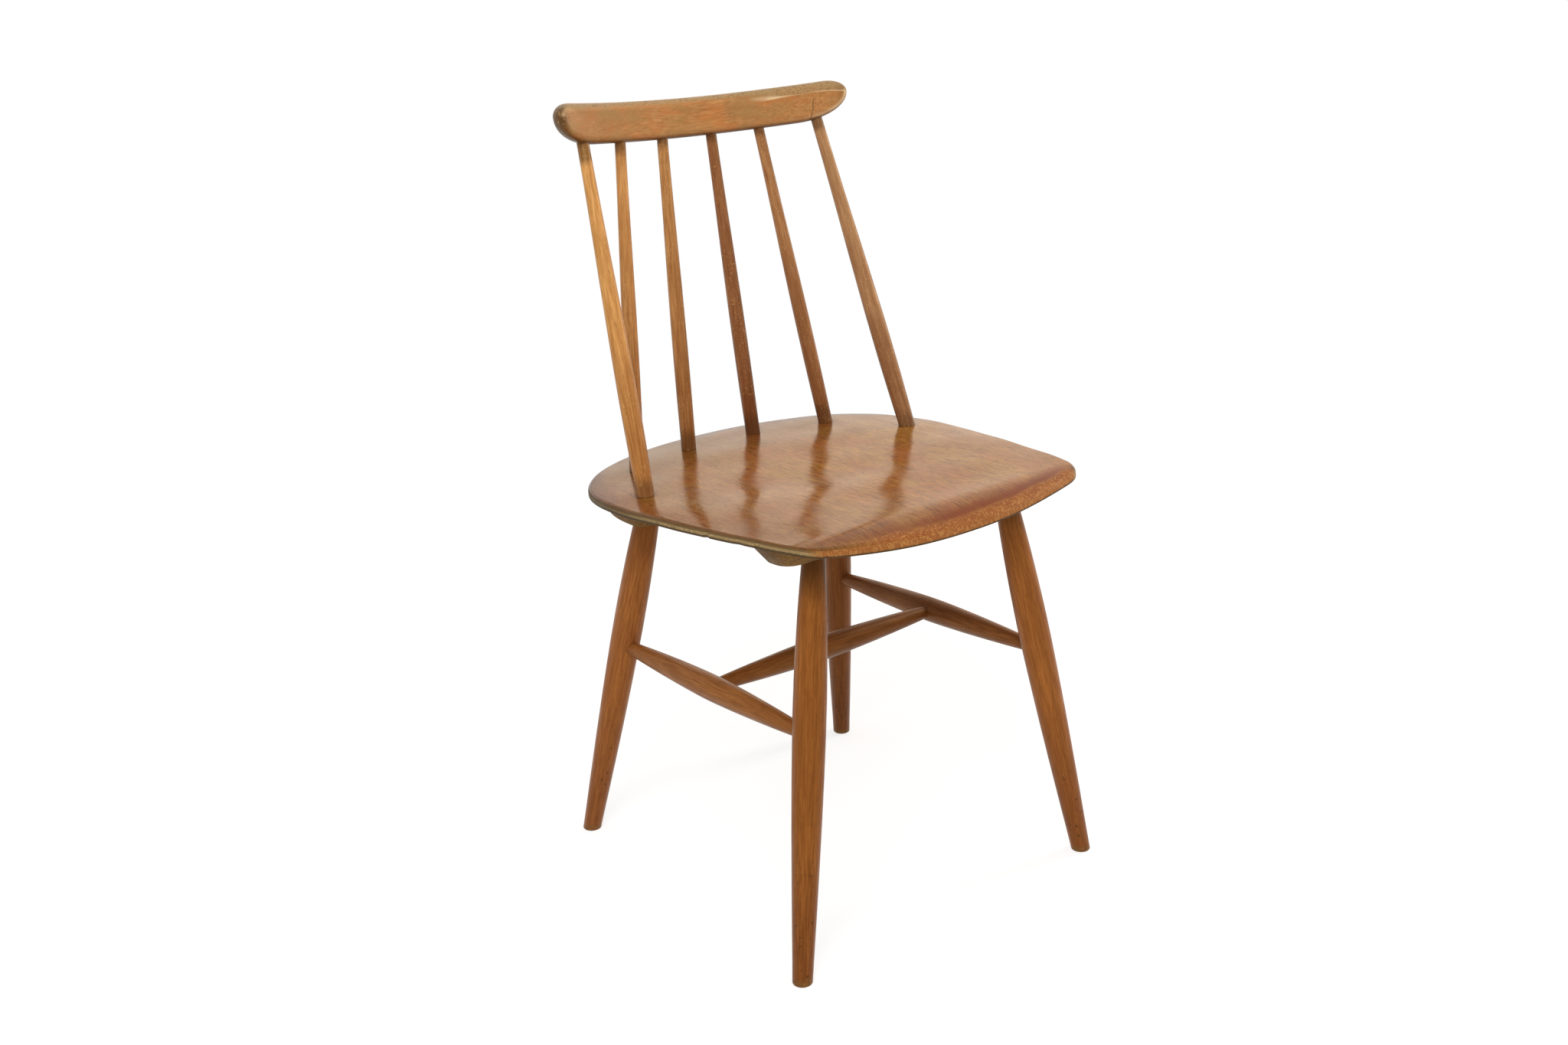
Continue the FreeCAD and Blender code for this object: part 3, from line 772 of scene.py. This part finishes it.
def makeSeat():
    s = seatShape
    hidden = s["hiddenSteps"]
    low = s["faceVeneer"] + s["core"]
    # depth of the top, thickness, rings on each face, share of the chips, and which log it is cut from
    layers = [
        ("seatFaceVeneer", 0.0, s["faceVeneer"], (s["faceSteps"], hidden), 0.25, 1),
        ("seatCorePlies", s["faceVeneer"], s["core"], (hidden, hidden), 1.0, 1),
        ("seatBackVeneer", low, s["backVeneer"], (hidden, s["undersideSteps"]), 1.2, 2),
    ]
    finishes = [
        ("seatVeneer", seatLook, seatDetail, "seat_face_veneer", "seat_veneer"),
        ("seatPlies", plyLook, plyDetail, "seat_core_plies", "seat_plies"),
        ("seatUnderside", undersideLook, undersideDetail, "seat_back_veneer", "seat_underside"),
    ]
    for (name, top, thickness, steps, bite, log), finish in zip(layers, finishes):
        material, look, detail, node, slot = finish
        layer = seatLayer(name, top, thickness, steps, bite)
        grain = grainAlong((0, 1, 0), (0, 0, 0.45), log)
        dress(layer, woodMaterial(material, look, grain, detail))
        settle(layer, node)


makeSeat()
print("seat layers modelled")

# Crest rail: a board bent to an arc, bowed up at the ends and leaning back

railShape = {
    "length": 0.3964, "height": 0.0425, "thickness": 0.0202,
    "curve": 0.450,    # radius in plan
    "bottom": 0.7885, "fromBack": 0.019,
    "skew": 1.25,      # degrees, the right end low
    "lean": 4.6,       # degrees
    "endRise": 0.0083,
    "lowCorner": (0.0547, 0.028), "topCorner": 0.0223,
    "lowFullness": 0.55, "topFullness": 0.6,
    "round": 0.0085,   # softened edges
    # how far in from the outline the painted highlight line runs: round the end, along the top, how
    # much more where the top meets the end, and how wide the line is
    "highlightEnd": 0.005, "highlightTop": 0.0045, "highlightFall": 0.0115, "highlightWide": 0.0024,
    "highlightFrom": 0.072, "highlightFull": 0.102,  # where it starts and is full, right of the middle
    "edgeWear": 0.004, "edgeShare": 0.3,  # how far wear reaches in, and how strong it is at the edge
    "rimSteps": 420, "faceSteps": 40, "roundSteps": 9,
}


def railOutline():
    r = railShape
    half = r["curve"] * math.sin(r["length"] / 2 / r["curve"])

    def bow(x):
        return r["endRise"] * (x / (r["length"] / 2)) ** 2

    lowX = half - r["lowCorner"][0]
    topX = half - r["topCorner"]
    noseZ = bow(half) + r["lowCorner"][1]
    lowZ, topZ = bow(lowX), r["height"] + bow(topX)
    lowSlope, topSlope = 2 * lowZ / lowX, 2 * (topZ - r["height"]) / topX

    def corner(x0, z0, slope, fullness):
        reachX = (half - x0) * fullness
        reachZ = (noseZ - z0) * fullness
        start = (x0 + reachX, z0 + slope * reachX)
        return bezier((x0, z0), start, (half, noseZ - reachZ), (half, noseZ), 120)

    low = np.linspace(-lowX, lowX, 400, endpoint=False)
    high = np.linspace(topX, -topX, 400, endpoint=False)
    lowRight = corner(lowX, lowZ, lowSlope, r["lowFullness"])
    topRight = corner(topX, topZ, topSlope, r["topFullness"])
    mirror = np.array([-1, 1])
    nose = np.array([[half, noseZ]])
    parts = [
        np.stack([low, bow(low)], 1), lowRight, nose, topRight[::-1],
        np.stack([high, r["height"] + bow(high)], 1)[1:], topRight * mirror, nose * mirror,
        (lowRight * mirror)[::-1][:-1],
    ]
    return np.vstack(parts)


def bendRail(x, z, depth):
    # elevation x, z and depth from front to back, onto the arc, askew and leaning
    r = railShape
    y = np.sqrt((r["curve"] + depth) ** 2 - x**2) - r["curve"]
    skew, lean = math.radians(r["skew"]), math.radians(r["lean"])
    x, z = x * math.cos(skew) + z * math.sin(skew), z * math.cos(skew) - x * math.sin(skew)
    return np.stack([
        x, y * math.cos(lean) + z * math.sin(lean) + halfDepth - r["fromBack"],
        r["bottom"] - y * math.sin(lean) + z * math.cos(lean),
    ], -1)


def highlightArris(x, inward):
    # where a painted highlight lies on the front: along the top on the right, and round that end;
    # and how far in from the outline the highlight line lies
    r = railShape
    top = np.clip(-inward[:, 1], 0, 1)
    right = top * np.clip((x - r["highlightFrom"]) / (r["highlightFull"] - r["highlightFrom"]), 0, 1)
    end = np.clip(-inward[:, 0] * 1.4, 0, 1) * (x > 0)
    left = 0.6 * np.clip(inward[:, 0], 0, 1) * np.clip(top * 3, 0, 1)
    far = np.clip(x / (r["length"] / 2), 0, 1)
    deeper = r["highlightTop"] - r["highlightEnd"] + r["highlightFall"] * far
    return np.maximum(np.maximum(right, end), left), r["highlightEnd"] + deeper * top**2


def makeRail():
    r = railShape
    rim, inward = evenRim(railOutline(), r["rimSteps"])
    middle = np.array([0.0, r["height"] / 2])
    half = r["thickness"] / 2
    radius = r["round"]
    # worn holds the painted highlight along the front edge, and above holds the share of the front over
    # that line
    rings, edges, worn, above = [], [], [], []

    def ring(share, inset, depth, edge):
        line = middle + (rim + inward * inset - middle) * share
        rings.append(bendRail(line[:, 0], line[:, 1], depth))
        edges.append(np.broadcast_to(edge, len(rim)))
        rubbed, highlightIn = highlightArris(line[:, 0], inward)
        deep = np.sum((line - rim) * inward, axis=1)
        near = np.clip(1 - ((deep - highlightIn) / r["highlightWide"]) ** 2, 0, 1)
        front = depth < radius - half
        worn.append(rubbed * near * front)
        above.append(np.clip((highlightIn - deep) / r["highlightWide"], 0, 1) * rubbed * front)

    def face(depth, outward):
        for share in faceShares(r["faceSteps"], outward):
            gap = (1 - share) * np.linalg.norm(rim - middle, axis=1)
            ring(share, radius, depth, r["edgeShare"] * np.exp(-gap / r["edgeWear"]))

    def turn(i):
        # inset and depth at a step of the rounding
        angle = math.pi / 2 * i / r["roundSteps"]
        return radius * (1 - math.sin(angle)), radius * (1 - math.cos(angle))

    face(-half, True)
    for i in range(1, r["roundSteps"] + 1):
        inset, depth = turn(i)
        ring(1.0, inset, depth - half, r["edgeShare"])
    for i in range(r["roundSteps"], 0, -1):
        inset, depth = turn(i)
        ring(1.0, inset, half - depth, r["edgeShare"])
    face(half, False)
    ends = [bendRail(np.array(middle[0]), np.array(middle[1]), depth) for depth in (-half, half)]
    rail = buildShell("crestRail", rings, ends, {
        "edge": (0, edges, 0), "rubbed": (0, worn, 0), "aboveHighlight": (0, above, 0),
    })
    grain = grainAlong((1, 0, 0), (0, 0.2, 0.81), 3)
    dress(rail, woodMaterial("railWood", railLook, grain, railDetail))
    settle(rail, "crest_rail")


railLook = {
    "dark": paint(172, 110, 58), "light": paint(212, 150, 92), "patch": paint(166, 128, 78),
    "patchShare": 0.6, "ring": paint(152, 92, 48), "ringShare": 0.25,
    "pore": paint(92, 56, 28), "worn": paint(214, 168, 108),
    "streaks": (0.0016, 0.016), "rings": (0.008, 0.012), "pores": 0.4, "wear": 0.8,
    "rough": (0.32, 0.44), "relief": 0.0001, "lacquer": (0.006, 0.00003), "gloss": 0.35,
    # painted colours: leftDark and lowDark are painted shade, top is the wood's olive and partly
    # painted sheen, and the palest colour on the next line is a painted highlight
    "rose": paint(196, 122, 66), "leftDark": paint(150, 92, 44), "lowDark": paint(92, 56, 28),
    "top": paint(172, 142, 100), "topFleck": paint(112, 82, 52), "rubbed": paint(244, 210, 164),
    "olive": paint(162, 126, 74),
    "endGrain": paint(88, 58, 30), "endFleck": paint(204, 160, 106),
    # hairline crack up from the outer right spindle
    "crack": {"from": 0.1475, "to": 0.1535, "rise": 0.030, "width": 0.0005},
    "crackDark": paint(50, 28, 16),
}


def railEnds(tree, where, colour):
    # dark, speckled end grain where the ends turn away, more of it on the left
    look = railLook
    x = split(tree, where)["X"]
    mixed = cloud(tree, where, 90.0, 4.0, 0.65)
    far = plus(tree, calc(tree, "ABSOLUTE", x), times(tree, mixed, 0.012))
    half = railShape["curve"] * math.sin(railShape["length"] / 2 / railShape["curve"])
    share = times(tree, fade(tree, x, -0.1, 0.1, 1.0, 0.4), 0.95)
    share = times(tree, fade(tree, far, half - 0.012, half + 0.004), share)
    colour = tint(tree, share, colour, look["endGrain"])
    specks = times(tree, speckle(tree, where, 0.56, 0.68, 0.7), share)
    return tint(tree, specks, colour, look["endFleck"])


def crackMask(tree, where):
    crack = railLook["crack"]
    parts = split(tree, where)
    rise = minus(tree, parts["Z"], railShape["bottom"] + 0.004)
    slope = (crack["to"] - crack["from"]) / crack["rise"]
    bend = minus(tree, cloud(tree, where, 120.0), 0.5)
    line = plus(tree, times(tree, rise, slope), times(tree, bend, 0.004))
    off = minus(tree, minus(tree, parts["X"], crack["from"]), line)
    off = calc(tree, "ABSOLUTE", off)
    narrow = fade(tree, off, crack["width"] * 0.3, crack["width"] * 1.6, 1.0, 0.0)
    return times(tree, narrow, fade(tree, rise, crack["rise"] * 0.7, crack["rise"], 1.0, 0.0))


def railDetail(tree, where, colour, height, rough):
    look = railLook
    colour = tint(tree, mottle(tree, where, (26, 40, 60), 0.46, 0.64, 0.6), colour, look["rose"])
    x = split(tree, where)["X"]
    # painted shade: the left part of the rail darker
    colour = tint(tree, fade(tree, x, -0.19, -0.02, 0.5, 0.0), colour, look["leftDark"])
    patches = mottle(tree, shift(tree, "ADD", where, (0.5, 0.3, 0.2)), (34, 50, 80), 0.4, 0.66, 0.6)
    patches = times(tree, patches, fade(tree, x, -0.16, 0.04, 1.0, 0.4))
    colour = tint(tree, patches, colour, look["olive"])
    # olive and flecked along the top, where hands hold it, with partly painted sheen there; painted
    # shade on the faces that look down
    up = facing(tree)["Z"]
    uneven = times(tree, cloud(tree, where, 60.0, 3.0), 0.3)
    top = fade(tree, plus(tree, up, uneven), 0.5, 0.95)
    top = calc(tree, "MAXIMUM", top, times(tree, mark(tree, "aboveHighlight"), 0.8))
    colour = lay(tree, top, 0.8, colour, look["top"])
    flecks = times(tree, speckle(tree, where, 0.5, 0.64, 0.6), top)
    colour = tint(tree, flecks, colour, look["topFleck"])
    colour = tint(tree, fade(tree, up, -0.85, -0.3, 0.85, 0.0), colour, look["lowDark"])
    colour = railEnds(tree, where, colour)
    # painted highlight along the top front edge on the right and round that end
    patchy = fade(tree, cloud(tree, where, 75.0, 4.0, 0.65), 0.38, 0.58, 0.75, 1.0)
    rubbed = times(tree, mark(tree, "rubbed"), patchy)
    colour = lay(tree, rubbed, 0.9, colour, look["rubbed"])
    mask = crackMask(tree, where)
    colour = lay(tree, mask, 0.7, colour, look["crackDark"])
    height = minus(tree, height, times(tree, mask, 2.0))
    return colour, height, rough


makeRail()
print("crest rail modelled")

# Turned pieces keep their solids and get a finish of their own

spindleLook = {
    "dark": paint(150, 96, 50), "light": paint(190, 134, 78), "patch": paint(136, 84, 42),
    "patchShare": 0.45, "ring": paint(138, 84, 44), "ringShare": 0.3,
    "pore": paint(84, 48, 24), "worn": paint(220, 170, 108),
    "streaks": (0.0016, 0.035), "rings": (0.006, 0.008), "pores": 0.35, "wear": 0.7,
    "rough": (0.26, 0.4), "relief": 0.00009, "lacquer": (0.004, 0.00006), "gloss": 0.3,
    "warm": paint(255, 212, 150),
    # each spindle has its own tone, left to right, and all are redder and darker low down
    "tones": [
        (1.66, 1.86, 1.85), (1.52, 1.66, 1.78), (1.25, 1.36, 1.5),
        (0.8, 0.75, 0.95), (1.12, 1.22, 1.6), (1.22, 1.5, 2.3),
    ],
    "lowTone": (0.72, 0.62, 0.56, 1.0), "lowFrom": 0.46, "lowTo": 0.70,
    # dark ends: heights over the seat, and depths below the rail, where they fade
    "endDark": paint(70, 40, 20), "overSeat": (-0.004, 0.012), "belowRail": (0.011, 0.001),
}
legLook = {
    "dark": paint(118, 68, 32), "light": paint(152, 94, 46), "patch": paint(112, 64, 30),
    "patchShare": 0.4, "ring": paint(108, 62, 28), "ringShare": 0.35,
    "pore": paint(66, 36, 16), "worn": paint(184, 126, 70),
    "streaks": (0.0018, 0.04), "rings": (0.007, 0.010), "pores": 0.4, "wear": 0.6,
    "rough": (0.3, 0.42), "relief": 0.00008, "lacquer": (0.008, 0.00003), "gloss": 0.25,
    "warm": paint(255, 200, 120),
    # each leg's tone is painted light and shade: lighter and darker copies of one finish, for how the
    # light falls on it
    "tones": {
        "front_left": (1.2, 1.15, 0.95), "front_right": (1.42, 1.4, 1.3),
        "rear_left": (1.42, 1.42, 1.45), "rear_right": (0.96, 0.92, 0.92),
    },
    # colour of the painted shadow under the seat, between these heights; it also darkens the dents, and
    # the stretchers' painted shade
    "under": paint(66, 40, 20), "seatShadowFrom": 0.38, "underTo": 0.42, "wobble": 0.03,
    "lowTone": (0.78, 0.74, 0.85, 1.0), "lowFrom": 0.04, "lowTo": 0.19,
    "foot": paint(116, 84, 48), "footHeight": 0.012,
}
stretcherLook = dict(
    legLook, dark=paint(116, 70, 36), light=paint(150, 98, 54),
    # each stretcher's tone is painted light and shade, as for the legs
    tones={"side_stretcher_left": (1.32, 1.26, 1.0), "side_stretcher_right": (1.05, 1.0, 1.0),
           "cross_stretcher": (0.88, 0.8, 0.68)},
)


def toned(look, tone):
    # the same finish, each colour times a tone
    changed = dict(look)
    for key in ("dark", "light", "patch", "ring", "worn"):
        changed[key] = tuple(c * t for c, t in zip(look[key], tone)) + (1.0,)
    return changed


def unevenHeight(tree, where, scale, size):
    # height over the floor, wandering, so that no mark ends at a level line
    wander = minus(tree, cloud(tree, where, scale, 3.0), 0.5)
    return plus(tree, split(tree, where)["Z"], times(tree, wander, size))


def spindleDetail(tree, where, colour, height, rough):
    # redder low down, dark where the spindle leaves the seat and enters the rail
    look = spindleLook
    low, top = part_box("seat_face_veneer")[1].z, railShape["bottom"]
    level = unevenHeight(tree, where, 18.0, 0.2)
    lowShare = fade(tree, level, look["lowFrom"], look["lowTo"], 1.0, 0.0)
    colour = tint(tree, lowShare, colour, look["lowTone"], "MULTIPLY")
    level = unevenHeight(tree, where, 110.0, 0.012)
    above = fade(tree, level, *(top - depth for depth in look["belowRail"]))
    below = fade(tree, level, *(low + rise for rise in look["overSeat"]), 0.8, 0.0)
    ends = calc(tree, "MAXIMUM", below, above)
    colour = lay(tree, ends, 0.65, colour, look["endDark"])
    # pale worn specks, partly wear and partly painted speckled highlight
    rubs = mottle(tree, where, (40, 40, 25), 0.4, 0.6, 1)
    rubs = times(tree, speckle(tree, where, 0.56, 0.7, 0.5), rubs)
    return tint(tree, rubs, colour, look["worn"]), height, rough


def legDetail(tree, where, colour, height, rough):
    # painted shadow just below the seat, darker near the floor, with small dents and a worn ring at the
    # foot
    look = legLook
    level = unevenHeight(tree, where, 40.0, look["wobble"])
    shade = fade(tree, level, look["seatShadowFrom"], look["underTo"], 0.0, 0.6)
    colour = tint(tree, shade, colour, look["under"])
    lowShare = fade(tree, level, look["lowFrom"], look["lowTo"], 1.0, 0.0)
    colour = tint(tree, lowShare, colour, look["lowTone"], "MULTIPLY")
    specks = fade(tree, cloud(tree, where, 210.0, 0.0), 0.72, 0.79)
    specks = times(tree, specks, fade(tree, level, 0.05, 0.2, 1.0, 0.0))
    colour = lay(tree, specks, 0.6, colour, look["under"])
    ring = fade(tree, unevenHeight(tree, where, 160.0, 0.006), 0.0, look["footHeight"], 0.8, 0.0)
    colour = tint(tree, ring, colour, look["foot"])
    pale = times(tree, speckle(tree, where, 0.55, 0.66, 0.7), ring)
    colour = tint(tree, pale, colour, look["worn"])
    return colour, minus(tree, height, specks), rough


def stretcherDetail(tree, where, colour, height, rough):
    # painted shade on the side that faces the floor
    down = facing(tree)["Z"]
    return tint(tree, fade(tree, down, -0.9, -0.35, 0.55, 0.0), colour, legLook["under"]), height, rough


def finishTurned():
    plans = []
    for number, tone in enumerate(spindleLook["tones"], 1):
        plans.append(("back_spindle_%d" % number, spindleLook, tone, spindleDetail))
    for corner, tone in legLook["tones"].items():
        plans.append(("leg_" + corner, legLook, tone, legDetail))
    for node, tone in stretcherLook["tones"].items():
        plans.append((node, stretcherLook, tone, stretcherDetail))
    for number, (node, look, tone, detail) in enumerate(plans, 10):
        middle, axis = pieceAxis(meshPoints(solids[node]))
        name = "".join(word.title() for word in node.split("_")) + "Wood"
        name = name[0].lower() + name[1:]
        grain = grainAlong(axis, middle, number)
        dress(solids[node], woodMaterial(name, toned(look, tone), grain, detail))


finishTurned()
print("spindles, legs and stretchers finished")

# Wood and screws under the seat

blockLook = {
    "dark": paint(116, 84, 44), "light": paint(166, 122, 68), "patch": paint(110, 78, 42),
    "patchShare": 0.5, "ring": paint(90, 66, 38), "ringShare": 0.3,
    "pore": paint(50, 36, 20), "worn": paint(160, 130, 84),
    "streaks": (0.0014, 0.02), "rings": (0.006, 0.008), "pores": 0.6, "wear": 0.9,
    "rough": (0.45, 0.6), "relief": 0.00015, "lacquer": (0.008, 0.00002), "gloss": 0.3,
    # the colour of the painted shade on the faces that look down
    "rim": paint(44, 32, 20),
}
screwLook = {"colour": paint(150, 144, 134), "stain": paint(92, 74, 58), "rough": (0.3, 0.6)}


def blockDetail(tree, where, colour, height, rough):
    # painted shade round the lower edge, on the faces that look down
    low = fade(tree, facing(tree)["Z"], -0.95, -0.3, 0.8, 0.0)
    return tint(tree, low, colour, blockLook["rim"]), height, rough


def finishUnderside():
    for number, node in enumerate(("front_batten", "rear_block"), 30):
        middle = (Vector(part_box(node)[0]) + Vector(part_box(node)[1])) / 2
        grain = grainAlong((1, 0, 0), middle, number)
        name = "battenWood" if node == "front_batten" else "blockWood"
        dress(solids[node], woodMaterial(name, blockLook, grain, blockDetail))
    steel = bpy.data.materials.new("screwSteel")
    steel.use_nodes = True
    tree = steel.node_tree
    shader = tree.nodes["Principled BSDF"]
    where = addNode(tree, "ShaderNodeTexCoord").outputs["Object"]
    spots = cloud(tree, where, 700.0, 3.0)
    colour = tint(tree, fade(tree, spots, 0.45, 0.7), screwLook["colour"], screwLook["stain"])
    feed(tree, shader.inputs["Base Color"], colour)
    feed(tree, shader.inputs["Roughness"], fade(tree, spots, 0.3, 0.7, *screwLook["rough"]))
    shader.inputs["Metallic"].default_value = 1.0
    for node in ("front_batten_screws", "rear_block_screws"):
        dress(solids[node], steel)


finishUnderside()
print("batten, block and screws finished")

# Studio: pale floor, white surroundings, soft lamps

studio = {
    "ambient": 0.55,  # light from all round on the object
    "floorGlow": 0.72, "floorGrey": 0.40, "floorBounce": 0.75,
    "floorNear": 0.7, "floorFar": 1.7,  # metres from the chair, where the floor turns plain white
    "lamps": {
        "key": {"place": (-2.0, -1.9, 3.0), "aim": (0, 0, 0.5), "size": (1.8, 1.8), "watts": 62,
                "colour": (1, 1, 1)},
        "side": {"place": (2.3, -0.4, 1.5), "aim": (0, 0, 0.5), "size": (0.5, 1.8), "watts": 24,
                 "colour": (1.0, 0.86, 0.66)},
        # a low warm light behind the chair, which the polished seat mirrors
        "back": {"place": (1.82, 1.88, 1.15), "aim": (0, 0, 0.5), "size": (2.0, 1.1), "watts": 4.2,
                 "colour": (1.0, 0.6, 0.14)},
    },
}


def seenRay(tree):
    # 1 for camera, glossy and transmission rays
    rays = addNode(tree, "ShaderNodeLightPath").outputs
    seen = calc(tree, "MAXIMUM", rays["Is Camera Ray"], rays["Is Glossy Ray"])
    return calc(tree, "MAXIMUM", seen, rays["Is Transmission Ray"])


def makeStudio():
    world = bpy.data.worlds.new("studio")
    scene.world = world
    world.use_nodes = True
    tree = world.node_tree
    tree.nodes.clear()
    strength = fade(tree, seenRay(tree), 0.0, 1.0, studio["ambient"], 1.0)
    sky = addNode(tree, "ShaderNodeBackground", {"Color": (1, 1, 1, 1), "Strength": strength})
    tree.links.new(sky.outputs[0], addNode(tree, "ShaderNodeOutputWorld").inputs[0])

    mesh = bpy.data.meshes.new("floor")
    span = 30
    corners = [(-span, -span, 0), (span, -span, 0), (span, span, 0), (-span, span, 0)]
    mesh.from_pydata(corners, [], [(0, 1, 2, 3)])
    floor = addObject("floor", mesh)
    paper, tree = addMaterial("floorPaper")
    where = addNode(tree, "ShaderNodeTexCoord").outputs["Object"]
    away = fade(tree, reach(tree, where, (0, 0, 0)), studio["floorNear"], studio["floorFar"])
    glow = fade(tree, away, 0.0, 1.0, studio["floorGlow"], 1.0)
    glow = addNode(tree, "ShaderNodeEmission", {"Strength": glow})
    shade = fade(tree, away, 0.0, 1.0, studio["floorGrey"], 0.0)
    shade = addNode(tree, "ShaderNodeCombineColor", {0: shade, 1: shade, 2: shade}).outputs[0]
    near = addNode(tree, "ShaderNodeBsdfDiffuse", {"Color": shade})
    shown = addNode(tree, "ShaderNodeAddShader", {0: glow.outputs[0], 1: near.outputs[0]})
    grey = studio["floorBounce"]
    bounce = addNode(tree, "ShaderNodeBsdfDiffuse", {"Color": (grey, grey, grey, 1)})
    ways = {0: seenRay(tree), 1: bounce.outputs[0], 2: shown.outputs[0]}
    mix = addNode(tree, "ShaderNodeMixShader", ways)
    tree.links.new(mix.outputs[0], addNode(tree, "ShaderNodeOutputMaterial").inputs[0])
    dress(floor, paper)

    for name, plan in studio["lamps"].items():
        light = bpy.data.lights.new(name, "AREA")
        light.shape = "RECTANGLE"
        light.size, light.size_y = plan["size"]
        light.energy = plan["watts"]
        light.color = plan["colour"]
        way = Vector(plan["aim"]) - Vector(plan["place"])
        lamp = addObject(name, light)
        stand(lamp, plan["place"], way.to_track_quat("-Z", "Y"))
        lamp.visible_camera = False
    scene.view_settings.view_transform = "Standard"


makeStudio()
print("studio set")
